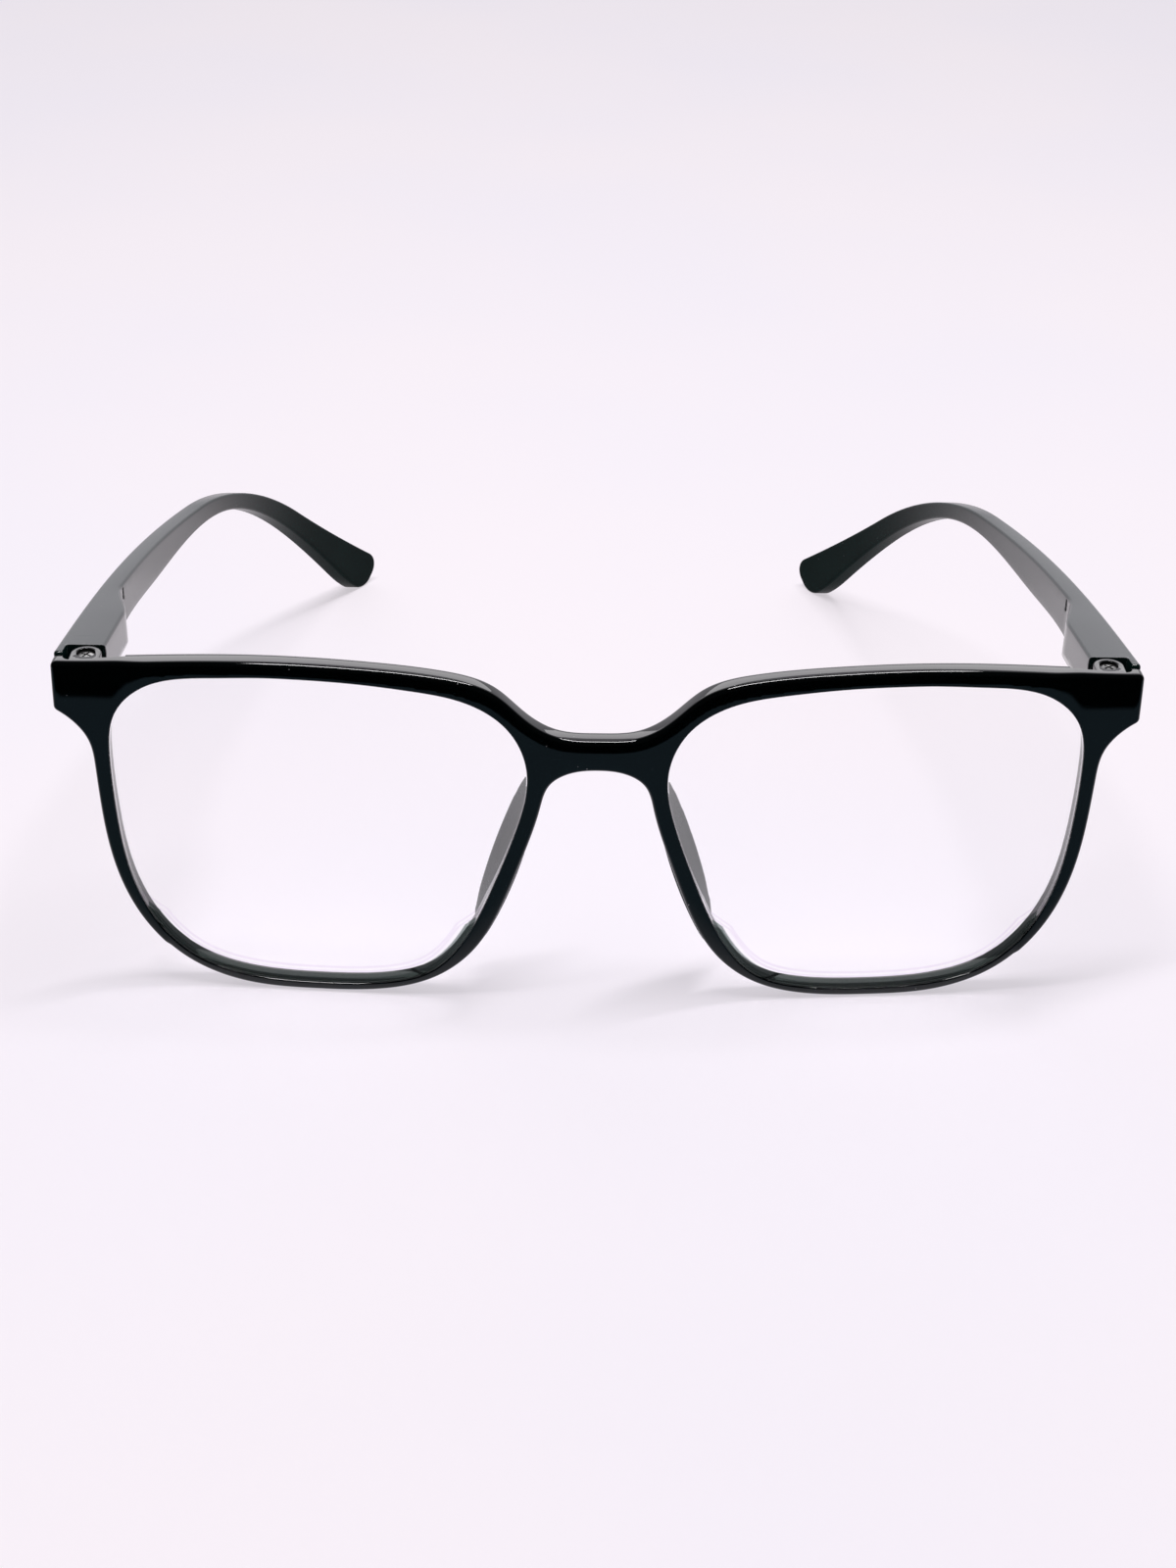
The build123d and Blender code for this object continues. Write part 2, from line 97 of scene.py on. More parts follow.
def smooth_run(points: Sequence[Pair], start: Pair, end: Pair, pitch: float) -> np.ndarray:
    """Samples the smooth curve through points that starts and ends along two headings.

    Args:
        points: The points that the curve goes through, in order.
        start: Its heading at the first point.
        end: Its heading at the last point.
        pitch: The longest distance between samples.

    Returns:
        The samples, one row each, the first and last point among them.
    """
    places = np.array(points, float)
    gaps = np.linalg.norm(np.diff(places, axis=0), axis=1)
    count = len(places)
    matrix, wanted = np.zeros((count, count)), np.zeros((count, 2))
    matrix[0, 0] = matrix[-1, -1] = 1
    wanted[0] = np.array(start) / np.linalg.norm(start)
    wanted[-1] = np.array(end) / np.linalg.norm(end)
    for i in range(1, count - 1):
        before, after = 1 / gaps[i - 1], 1 / gaps[i]
        matrix[i, i - 1 : i + 2] = before, 2 * (before + after), after
        wanted[i] = 3 * ((places[i] - places[i - 1]) * before**2 + (places[i + 1] - places[i]) * after**2)
    slopes = np.linalg.solve(matrix, wanted)
    runs = [places[:1]]
    for i, gap in enumerate(gaps):
        t = np.linspace(0, 1, max(3, math.ceil(gap / pitch) + 1))[1:, None]
        ahead = t * t * (3 - 2 * t)
        bend = t * (1 - t) * gap
        runs.append(
            (1 - ahead) * places[i] + ahead * places[i + 1]
            + bend * ((1 - t) * slopes[i] - t * slopes[i + 1])
        )
    return np.vstack(runs)


def straight_run(start: Pair, end: Pair, pitch: float) -> np.ndarray:
    """Samples a straight line from start to end, both among the samples."""
    count = max(2, math.ceil(math.dist(start, end) / pitch) + 1)
    return np.linspace(start, end, count)


def arc_run(centre: Pair, radius: float, start: float, end: float, pitch: float) -> np.ndarray:
    """Samples an arc about centre, from one angle to another in degrees."""
    count = max(7, math.ceil(abs(math.radians(end - start)) * radius / pitch) + 1)
    angles = np.radians(np.linspace(start, end, count))
    return np.column_stack((centre[0] + radius * np.cos(angles), centre[1] + radius * np.sin(angles)))


def join_runs(runs: Sequence[np.ndarray], roundings: Sequence[float]) -> np.ndarray:
    """Joins runs into one closed loop and rounds the corner after each.

    Args:
        runs: The runs in order. Each starts where the one before it ends.
        roundings: The radius of the corner at the end of each run, or 0.

    Returns:
        The loop's points, without a repeated last one.
    """
    cut = [np.array(run) for run in runs]
    corners: dict[int, np.ndarray] = {}
    for i, radius in enumerate(roundings):
        if radius <= 0:
            continue
        follower = (i + 1) % len(cut)
        corner = cut[i][-1]
        into = cut[i][-1] - cut[i][-2]
        out = cut[follower][1] - cut[follower][0]
        into, out = into / np.linalg.norm(into), out / np.linalg.norm(out)
        turn = math.acos(max(-1.0, min(1.0, float(into @ out))))
        reach = radius * math.tan(turn / 2)
        for end in (i, follower):
            cut[end] = cut[end][np.linalg.norm(cut[end] - corner, axis=1) > reach * CORNER_SPARE]
        first, last = corner - into * reach, corner + out * reach
        bow = (out - into) / np.linalg.norm(out - into)
        centre = corner + bow * radius / math.cos(turn / 2)
        steps = max(5, math.ceil(turn * radius / ROUND_PITCH))
        share = np.linspace(0, 1, steps + 1)[:, None]
        a, b = first - centre, last - centre
        sweep = (np.sin((1 - share) * turn) * a + np.sin(share * turn) * b) / math.sin(turn)
        corners[i] = centre + sweep
    loop: list[np.ndarray] = []
    for i, run in enumerate(cut):
        loop.append(run if i in corners or len(run) < 2 else run[:-1])
        if i in corners:
            loop.append(corners[i])
    points = np.vstack(loop)
    apart = np.linalg.norm(points - np.roll(points, 1, axis=0), axis=1) > TOUCHING
    return points[apart]


def turned(loop: np.ndarray, clockwise: bool) -> np.ndarray:
    """The loop in the order asked for."""
    x, y = loop[:, 0], loop[:, 1]
    area = float(np.sum(x * np.roll(y, -1) - np.roll(x, -1) * y))
    return loop if (area < 0) == clockwise else loop[::-1]


def shifted(loop: np.ndarray, distance: float) -> np.ndarray:
    """The loop moved a distance to the right of its heading."""
    ahead = np.roll(loop, -1, axis=0) - loop
    behind = loop - np.roll(loop, 1, axis=0)
    ahead /= np.linalg.norm(ahead, axis=1)[:, None]
    behind /= np.linalg.norm(behind, axis=1)[:, None]
    along = ahead + behind
    along /= np.linalg.norm(along, axis=1)[:, None]
    half = np.clip(np.sum(along * ahead, axis=1), 0.5, 1)[:, None]
    return loop + np.column_stack((along[:, 1], -along[:, 0])) * distance / half


def inside(points: np.ndarray, loops: Sequence[np.ndarray]) -> np.ndarray:
    """Which points lie within an odd number of the loops."""
    found = np.zeros(len(points), bool)
    for loop in loops:
        x1, y1 = loop[:, 0], loop[:, 1]
        x2, y2 = np.roll(x1, -1), np.roll(y1, -1)
        px, py = points[:, 0][:, None], points[:, 1][:, None]
        spans = (y1 > py) != (y2 > py)
        rise = np.where(y2 == y1, 1.0, y2 - y1)
        crossing = spans & (px < (x2 - x1) * (py - y1) / rise + x1)
        found ^= np.sum(crossing, axis=1) % 2 == 1
    return found


# ---- Slabs --------------------------------------------------------------------------------


@dataclass(frozen=True)
class Edge:
    """How a slab's edge is rounded: how far in from its wall and how deep, on each face."""

    near_in: float
    near_deep: float
    far_in: float
    far_deep: float
    steps: int = 6

    def stages(self) -> list[tuple[float, float, Face]]:
        """The profile from the near face to the far one, as inset, depth and the depth's face."""
        turns = [math.pi / 2 * k / self.steps for k in range(self.steps + 1)]
        near, far = (
            [(wide * (1 - math.sin(turn)), deep * (1 - math.cos(turn)), face) for turn in turns]
            for wide, deep, face in (
                (self.near_in, self.near_deep, Face.NEAR),
                (self.far_in, self.far_deep, Face.FAR),
            )
        )
        return near + far[::-1]


# A cutter's edge, which is as good as sharp.
CUTTER_EDGE = Edge(0.02, 0.02, 0.02, 0.02, 1)


Lift = Callable[[np.ndarray, float, Face], np.ndarray]


class Slab:
    """A closed solid between two faces, bounded by an outline and holes with rounded edges."""

    def __init__(self, lift: Lift, pitch: float) -> None:
        """Starts an empty slab.

        Args:
            lift: Gives the place in space of flat points at a depth under one of the faces.
            pitch: The distance between the points inside the faces.
        """
        self.lift = lift
        self.pitch = pitch
        self.verts: list[np.ndarray] = []
        self.faces: list[tuple[int, ...]] = []
        self.count = 0
        self.rims: dict[Face, list[tuple[np.ndarray, np.ndarray]]] = {Face.NEAR: [], Face.FAR: []}

    def _add(self, points: np.ndarray) -> np.ndarray:
        """Adds points in space and returns their numbers."""
        self.verts.append(points)
        numbers = np.arange(self.count, self.count + len(points))
        self.count += len(points)
        return numbers

    def wall(self, loop: np.ndarray, edge: Edge) -> None:
        """Adds the wall round one loop, with its rounded edges. The solid lies on the loop's right."""
        rings = []
        for inset, depth, face in edge.stages():
            flat = shifted(loop, inset)
            rings.append((flat, self._add(self.lift(flat, depth, face))))
        for (_, a), (_, b) in zip(rings, rings[1:]):
            self.faces += bridge(int(a[0]), int(b[0]), len(a))
        self.rims[Face.NEAR].append(rings[0])
        self.rims[Face.FAR].append(rings[-1])

    def fill(self, face: Face) -> None:
        """Fills one face between the walls with even triangles."""
        loops = [flat for flat, _ in self.rims[face]]
        border = np.vstack(loops)
        numbers = np.concatenate([ring for _, ring in self.rims[face]])
        low, high = border.min(0), border.max(0)
        across = np.arange(low[0], high[0], self.pitch)
        up = np.arange(low[1], high[1], self.pitch * math.sqrt(3) / 2)
        grid = np.array([(x + (k % 2) * self.pitch / 2, y) for k, y in enumerate(up) for x in across])
        grid = grid[inside(grid, loops)]
        clear = np.array([np.min(np.sum((border - point) ** 2, axis=1)) for point in grid] or [0.0])
        grid = grid[clear > (BORDER_SHARE * self.pitch) ** 2] if len(grid) else grid
        edges, start = [], 0
        for loop in loops:
            edges += [(start + i, start + (i + 1) % len(loop)) for i in range(len(loop))]
            start += len(loop)
        flat = np.vstack((border, grid)) if len(grid) else border
        _, _, triangles, origins, _, _ = delaunay_2d_cdt(
            [Vector(point) for point in flat.tolist()], edges, [], 0, SAME_POINT
        )
        if len(grid):
            numbers = np.concatenate((numbers, self._add(self.lift(grid, 0, face))))
        first = [origin[0] for origin in origins]
        corners = np.array([[first[k] for k in triangle] for triangle in triangles])
        a, b, c = (flat[corners[:, k]] for k in range(3))
        area = np.abs((b[:, 0] - a[:, 0]) * (c[:, 1] - a[:, 1]) - (c[:, 0] - a[:, 0]) * (b[:, 1] - a[:, 1]))
        kept = inside((a + b + c) / 3, loops) & (area > THIN_AREA)
        self.faces += [tuple(numbers[list(corner)]) for corner in corners[kept]]

    def mesh(self, name: str) -> bpy.types.Mesh:
        """Fills both faces and returns the closed mesh, in metres, with its faces outwards."""
        self.fill(Face.NEAR)
        self.fill(Face.FAR)
        return solid_mesh(name, np.vstack(self.verts), self.faces)


def bridge(first: int, second: int, count: int) -> list[tuple[int, ...]]:
    """The faces between two rings of count points, from the number of each ring's first point."""
    return [
        (first + i, first + (i + 1) % count, second + (i + 1) % count, second + i) for i in range(count)
    ]


def prism(name: str, first: Sequence[Any], second: Sequence[Any]) -> bpy.types.Mesh:
    """Makes the closed solid between two rings with as many points each, in millimetres."""
    count = len(first)
    faces = [tuple(range(count)), tuple(range(count, 2 * count)), *bridge(0, count, count)]
    return solid_mesh(name, np.array([*first, *second], float), faces)


def solid_mesh(name: str, points: np.ndarray, faces: Sequence[Sequence[int]]) -> bpy.types.Mesh:
    """Makes a closed mesh with outward faces.

    Args:
        name: The mesh's name.
        points: Its points, in millimetres.
        faces: The numbers of each face's points.

    Returns:
        The mesh, in metres and shaded smooth.
    """
    mesh = bpy.data.meshes.new(name)
    mesh.from_pydata((points * MM).tolist(), [], [tuple(int(i) for i in face) for face in faces])
    bm = bmesh.new()
    bm.from_mesh(mesh)
    bmesh.ops.remove_doubles(bm, verts=bm.verts, dist=SAME_POINT)
    bmesh.ops.recalc_face_normals(bm, faces=bm.faces)
    if bm.calc_volume(signed=True) < 0:
        bmesh.ops.reverse_faces(bm, faces=bm.faces)
    bm.to_mesh(mesh)
    bm.free()
    mesh.shade_smooth()
    return mesh


def mirrored(mesh: bpy.types.Mesh, name: str) -> bpy.types.Mesh:
    """A copy of the mesh on the other side of the middle, its faces outwards."""
    copy = mesh.copy()
    copy.name = name
    copy.transform(Matrix.Scale(-1, 4, (1, 0, 0)))
    copy.flip_normals()
    return copy


def place(mesh: bpy.types.Mesh, name: str) -> bpy.types.Object:
    """Puts a mesh into the scene as an object at the origin."""
    piece = bpy.data.objects.new(name, mesh)
    bpy.context.scene.collection.objects.link(piece)
    return piece


def baked(piece: bpy.types.Object) -> None:
    """Turns a piece's modifiers into plain mesh and removes them."""
    graph = bpy.context.evaluated_depsgraph_get()
    graph.update()
    result = bpy.data.meshes.new_from_object(piece.evaluated_get(graph))
    piece.modifiers.clear()
    old = piece.data
    result.name = old.name
    piece.data = result
    bpy.data.meshes.remove(old)


def carved(piece: bpy.types.Object, cutters: Sequence[bpy.types.Mesh], soften: float) -> None:
    """Cuts closed meshes out of a piece and softens the new edges.

    Args:
        piece: The piece that is cut.
        cutters: The meshes that are taken away. They are used up.
        soften: The width of the softened edges, in millimetres.
    """
    tools = []
    for number, cutter in enumerate(cutters):
        tool = place(cutter, f"cutter_{number}")
        cut = piece.modifiers.new("cut", "BOOLEAN")
        cut.operation, cut.solver, cut.object = "DIFFERENCE", "EXACT", tool
        tools.append(tool)
    baked(piece)
    for tool in tools:
        data = tool.data
        bpy.data.objects.remove(tool)
        bpy.data.meshes.remove(data)
    if soften > 0:
        bevel = piece.modifiers.new("soften", "BEVEL")
        bevel.width, bevel.segments, bevel.limit_method = soften * MM, 2, "ANGLE"
        bevel.angle_limit, bevel.use_clamp_overlap = math.radians(SOFTEN_ANGLE), True
        baked(piece)
    piece.data.shade_smooth()
    piece.data.set_sharp_from_angle(angle=math.radians(SHARP_ANGLE))


def united(piece: bpy.types.Object, extra: Sequence[bpy.types.Mesh]) -> None:
    """Joins more closed meshes to a piece. They are used up."""
    bm = bmesh.new()
    bm.from_mesh(piece.data)
    for mesh in extra:
        bm.from_mesh(mesh)
        bpy.data.meshes.remove(mesh)
    bm.to_mesh(piece.data)
    bm.free()


# ---- Node trees ---------------------------------------------------------------------------


class Wire:
    """A socket that takes part in sums."""

    def __init__(self, home: "NodeTree", socket: bpy.types.NodeSocket) -> None:
        """Wraps a socket of a tree."""
        self.home = home
        self.socket = socket

    def _sum(self, operation: str, first: Any, second: Any) -> "Wire":
        """Adds a Math node of two values or wires."""
        return self.home.wire("ShaderNodeMath", {"operation": operation}, {0: first, 1: second})

    def __add__(self, other: Any) -> "Wire":
        """This plus other."""
        return self._sum("ADD", self, other)

    def __radd__(self, other: Any) -> "Wire":
        """Other plus this."""
        return self._sum("ADD", other, self)

    def __sub__(self, other: Any) -> "Wire":
        """This less other."""
        return self._sum("SUBTRACT", self, other)

    def __rsub__(self, other: Any) -> "Wire":
        """Other less this."""
        return self._sum("SUBTRACT", other, self)

    def __mul__(self, other: Any) -> "Wire":
        """This times other."""
        return self._sum("MULTIPLY", self, other)

    def __rmul__(self, other: Any) -> "Wire":
        """Other times this."""
        return self._sum("MULTIPLY", other, self)

    def root(self) -> "Wire":
        """The square root of this."""
        return self._sum("SQRT", self, 0.0)

    def larger(self, other: Any) -> "Wire":
        """The larger of this and other."""
        return self._sum("MAXIMUM", self, other)

    def between(self, low: float, high: float, dark: float = 0.0, bright: float = 1.0) -> "Wire":
        """A smooth step of this from low to high, which goes from dark to bright."""
        return self.home.wire(
            "ShaderNodeMapRange",
            {"interpolation_type": "SMOOTHSTEP"},
            {"Value": self, "From Min": low, "From Max": high, "To Min": dark, "To Max": bright},
        )


class NodeTree:
    """A node tree, with short ways to add nodes to it."""

    def __init__(self, tree: bpy.types.NodeTree) -> None:
        """Empties and wraps a tree."""
        self.tree = tree
        self.tree.nodes.clear()

    def node(self, kind: str, settings: dict[str, Any], inputs: dict[Any, Any]) -> bpy.types.Node:
        """Adds a node.

        Args:
            kind: The node's type.
            settings: Its own settings, set first.
            inputs: The value, wire or socket of each of its sockets.

        Returns:
            The node.
        """
        made = self.tree.nodes.new(kind)
        for label, value in settings.items():
            setattr(made, label, value)
        for label, value in inputs.items():
            source = value.socket if isinstance(value, Wire) else value
            if isinstance(source, bpy.types.NodeSocket):
                self.tree.links.new(source, made.inputs[label])
            else:
                made.inputs[label].default_value = source
        return made

    def wire(self, kind: str, settings: dict[str, Any], inputs: dict[Any, Any], output: Any = 0) -> Wire:
        """Adds a node and returns one of its outputs as a wire."""
        return Wire(self, self.node(kind, settings, inputs).outputs[output])

    def rays(self, *kinds: str) -> list[Wire]:
        """Whether the ray that asks is of each kind."""
        path = self.node("ShaderNodeLightPath", {}, {})
        return [Wire(self, path.outputs[f"Is {kind} Ray"]) for kind in kinds]

    def mix(self, share: Any, first: Wire, second: Wire) -> Wire:
        """A mix of two shaders."""
        return self.wire("ShaderNodeMixShader", {}, {0: share, 1: first, 2: second})


# ---- Geometry Nodes -----------------------------------------------------------------------


class NodeTool(NodeTree):
    """A Geometry Nodes tree with named inputs, built in the script and used as a modifier."""

    def __init__(self, name: str, sizes: dict[str, str]) -> None:
        """Starts a tree.

        Args:
            name: The tree's name.
            sizes: The kind of each input after the geometry, by its name.
        """
        super().__init__(bpy.data.node_groups.new(name, "GeometryNodeTree"))
        face = self.tree.interface
        face.new_socket("Geometry", in_out="INPUT", socket_type="NodeSocketGeometry")
        self.names = {
            label: face.new_socket(label, in_out="INPUT", socket_type=f"NodeSocket{kind}").identifier
            for label, kind in sizes.items()
        }
        face.new_socket("Geometry", in_out="OUTPUT", socket_type="NodeSocketGeometry")
        self.source = self.tree.nodes.new("NodeGroupInput")
        self.sink = self.tree.nodes.new("NodeGroupOutput")

    def size(self, label: str) -> Wire:
        """What a named input gives inside the tree."""
        return Wire(self, self.source.outputs[label])

    def end(self, geometry: Wire) -> None:
        """Ends the tree: the geometry is made real and takes the finish that is asked for."""
        real = self.wire("GeometryNodeRealizeInstances", {}, {"Geometry": geometry})
        dressed = self.wire(
            "GeometryNodeSetMaterial", {}, {"Geometry": real, "Material": self.size("Finish")}
        )
        self.tree.links.new(dressed.socket, self.sink.inputs[0])

    def use(self, piece: bpy.types.Object, values: dict[str, Any]) -> None:
        """Runs the tree on a piece and leaves plain mesh in it."""
        modifier = piece.modifiers.new(self.tree.name, "NODES")
        modifier.node_group = self.tree
        for label, value in values.items():
            modifier[self.names[label]] = value
        baked(piece)


def bow_tool() -> NodeTool:
    """A tree that bends a flat slab, whose Y is depth, to the bow of the front."""
    tool = NodeTool("bow_to_front", {"Bow radius": "Float", "Front place": "Float", "Finish": "Material"})
    where = tool.wire("GeometryNodeInputPosition", {}, {})
    parts = tool.node("ShaderNodeSeparateXYZ", {}, {0: where})
    x, y, z = (Wire(tool, parts.outputs[axis]) for axis in "XYZ")
    radius = tool.size("Bow radius")
    layer = radius - y
    back = radius - (layer * layer - x * x).root() + tool.size("Front place")
    point = tool.wire("ShaderNodeCombineXYZ", {}, {"X": x, "Y": back, "Z": z})
    tool.end(
        tool.wire("GeometryNodeSetPosition", {}, {"Geometry": tool.size("Geometry"), "Position": point})
    )
    return tool


def hinge_tool() -> NodeTool:
    """A tree that sets one fitting in every hinge, each turned as a driver left it."""
    tool = NodeTool(
        "fit_hinges",
        {
            "Count": "Int", "First place": "Vector", "Spacing": "Vector", "Turn": "Float", "Seed": "Int",
            "Finish": "Material",
        },
    )
    line = tool.wire(
        "GeometryNodeMeshLine",
        {"mode": "OFFSET"},
        {
            "Count": tool.size("Count"),
            "Start Location": tool.size("First place"),
            "Offset": tool.size("Spacing"),
        },
    )
    turn = tool.wire(
        "FunctionNodeRandomValue",
        {"data_type": "FLOAT"},
        {2: 0.0, 3: tool.size("Turn"), "Seed": tool.size("Seed")},
        1,
    )
    angles = tool.wire("ShaderNodeCombineXYZ", {}, {"Z": turn})
    rotation = tool.wire("FunctionNodeEulerToRotation", {}, {0: angles})
    tool.end(
        tool.wire(
            "GeometryNodeInstanceOnPoints",
            {},
            {"Points": line, "Instance": tool.size("Geometry"), "Rotation": rotation},
        )
    )
    return tool


# ---- Finishes -----------------------------------------------------------------------------


class Paint(NodeTree):
    """The node tree of one material, with short ways to lay patterns and mix colours."""

    def __init__(self, name: str) -> None:
        """Starts an empty material."""
        self.material = bpy.data.materials.new(name)
        self.material.use_nodes = True
        super().__init__(self.material.node_tree)

    def places(self, stretch: Triple = (1, 1, 1)) -> Wire:
        """The place on the object in millimetres, stretched along each axis."""
        where = self.wire("ShaderNodeTexCoord", {}, {}, "Object")
        scale = tuple(share / MM for share in stretch)
        return self.wire("ShaderNodeMapping", {}, {"Vector": where, "Scale": scale})

    def depth(self) -> Wire:
        """How far back a point lies in the object's own frame, in metres."""
        where = self.wire("ShaderNodeTexCoord", {}, {}, "Object")
        return self.wire("ShaderNodeSeparateXYZ", {}, {0: where}, "Y")

    def noise(self, scale: float, detail: float, stretch: Triple = (1, 1, 1)) -> Wire:
        """Cloudy noise with scale clouds to a millimetre."""
        return self.wire(
            "ShaderNodeTexNoise",
            {},
            {"Vector": self.places(stretch), "Scale": scale, "Detail": detail},
            "Fac",
        )

    def specks(self, scale: float, size: float) -> Wire:
        """Small round specks, scale to a millimetre, with soft edges."""
        cells = self.wire(
            "ShaderNodeTexVoronoi",
            {},
            {"Vector": self.places(), "Scale": scale, "Randomness": 1.0},
            "Distance",
        )
        return 1 - cells.between(size / 2, size)

    def blend(self, share: Any, first: Colour | Wire, second: Colour | Wire) -> Wire:
        """A mix of two colours, each a value or a wire."""
        ends = [colour if isinstance(colour, Wire) else (*colour, 1) for colour in (first, second)]
        return self.wire("ShaderNodeMix", {"data_type": "RGBA"}, {0: share, 6: ends[0], 7: ends[1]}, 2)

    def bump(self, height: Wire, depth: float, under: Wire | None = None) -> Wire:
        """A bump of that depth in millimetres, on top of the one under it."""
        inputs = {"Height": height, "Strength": 1.0, "Distance": depth * MM}
        return self.wire("ShaderNodeBump", {}, inputs | ({"Normal": under} if under else {}))

    def emission(self, colour: Wire) -> Wire:
        """A plain glow of one colour."""
        return self.wire("ShaderNodeEmission", {}, {"Color": colour})

    def surface(self, inputs: dict[str, Any]) -> Wire:
        """The material's main shader."""
        return self.wire("ShaderNodeBsdfPrincipled", {}, inputs)

    def finished(self, shader: Wire) -> bpy.types.Material:
        """Leads a shader to the output and returns the material."""
        self.node("ShaderNodeOutputMaterial", {}, {"Surface": shader})
        return self.material


@dataclass(frozen=True)
class MouldedPlastic:
    """Injection-moulded plastic with faint moulding waves, hairline scuffs and dust."""

    name: str
    deep: Colour
    pale: Colour
    roughness: float
    roughness_spread: float
    grain: float
    grain_depth: float
    wave_depth: float
    scuff: float
    shine: float = 0.5
    dust: float = 0.25
    coat_ends: Pair | None = None
    cloud_scale: float = 0.09
    cloud_band: Pair = (0.3, 0.7)
    cloud_share: float = 0.7
    wave_scale: float = 0.22
    scuff_scale: float = 0.8
    scuff_stretch: Triple = (0.25, 1.6, 2.6)
    scuff_band: Pair = (0.60, 0.78)
    dust_scale: float = 0.42
    dust_size: float = 0.045
    dust_colour: Colour = (0.45, 0.45, 0.46)
    dust_roughness: float = 0.2

    def make(self) -> bpy.types.Material:
        """Builds the material."""
        paint = Paint(self.name)
        clouds = paint.noise(self.cloud_scale, 4)
        scuffs = paint.noise(self.scuff_scale, 6, self.scuff_stretch).between(*self.scuff_band)
        dust = paint.specks(self.dust_scale, self.dust_size)
        share = clouds.between(*self.cloud_band) * self.cloud_share + scuffs * (1 - self.cloud_share)
        colour = paint.blend(share, self.deep, self.pale)
        grain = paint.bump(paint.noise(self.grain, 2), self.grain_depth)
        rough = self.roughness + clouds * self.roughness_spread + scuffs * self.scuff
        inputs = {
            "Base Color": paint.blend(dust * self.dust, colour, self.dust_colour),
            "Roughness": rough + dust * self.dust_roughness,
            "Specular IOR Level": self.shine,
            "Normal": paint.bump(paint.noise(self.wave_scale, 2), self.wave_depth, grain),
        }
        if self.coat_ends:
            start, end = (place * MM for place in self.coat_ends)
            inputs |= {
                "Coat Weight": 1 - paint.depth().between(start, end),
                "Coat Roughness": self.roughness,
            }
        return paint.finished(paint.surface(inputs))


@dataclass(frozen=True)
class ClearLens:
    """A clear lens with faint smears, painted shade along its lower edge, and a faint mauve line inside.

    The bands are distances from the lens's edge in millimetres, as Lenses.mark_edge writes them.
    """

    name: str
    clear: Colour = (0.992, 0.990, 0.994)
    # Painted shade: the dark tint of the lens's lower edge, where the rim's inner wall shows behind it.
    painted_shade: Colour = (0.10, 0.13, 0.12)
    line: Colour = (0.86, 0.80, 0.90)
    shadow: Colour = (0.97, 0.965, 0.98)
    index: float = 1.25
    painted_shade_band: Pair = (0.70, 0.95)
    line_start: Pair = (1.5, 1.75)
    line_end: Pair = (1.85, 2.1)
    smear_scale: float = 0.06
    smear_stretch: Triple = (1, 1, 1.6)
    smear_band: Pair = (0.45, 0.8)
    smear_roughness: float = 0.006

    def make(self) -> bpy.types.Material:
        """Builds the material."""
        paint = Paint(self.name)
        smears = paint.noise(self.smear_scale, 4, self.smear_stretch).between(*self.smear_band)
        edge = paint.wire("ShaderNodeAttribute", {"attribute_name": "edge"}, {}, "Fac")
        line = edge.between(*self.line_start) * (1 - edge.between(*self.line_end))
        lined = paint.blend(line, self.clear, self.line)
        glass = paint.surface(
            {
                # Painted shade darkens the lens within its band from the lower edge.
                "Base Color": paint.blend(1 - edge.between(*self.painted_shade_band), lined, self.painted_shade),
                "Roughness": smears * self.smear_roughness,
                "IOR": self.index,
                "Transmission Weight": 1.0,
            }
        )
        open_way = paint.wire("ShaderNodeBsdfTransparent", {}, {"Color": (*self.shadow, 1)})
        (through,) = paint.rays("Shadow")
        return paint.finished(paint.mix(through, glass, open_way))


@dataclass(frozen=True)
class TurnedMetal:
    """Turned metal with fine tool marks round its axis and handling wear."""

    name: str
    bright: Colour
    dull: Colour
    roughness: float
    mark_scale: float = 3.0
    mark_stretch: Triple = (1, 1, 6)
    mark_roughness: float = 0.08
    mark_depth: float = 0.006
    wear_scale: float = 0.7
    wear_band: Pair = (0.35, 0.7)
    wear_roughness: float = 0.15

    def make(self) -> bpy.types.Material:
        """Builds the material."""
        paint = Paint(self.name)
        marks = paint.noise(self.mark_scale, 3, self.mark_stretch)
        wear = paint.noise(self.wear_scale, 4).between(*self.wear_band)
        inputs = {
            "Base Color": paint.blend(wear, self.bright, self.dull),
            "Metallic": 1.0,
            "Roughness": self.roughness + wear * self.wear_roughness + marks * self.mark_roughness,
            "Normal": paint.bump(marks, self.mark_depth),
        }
        return paint.finished(paint.surface(inputs))


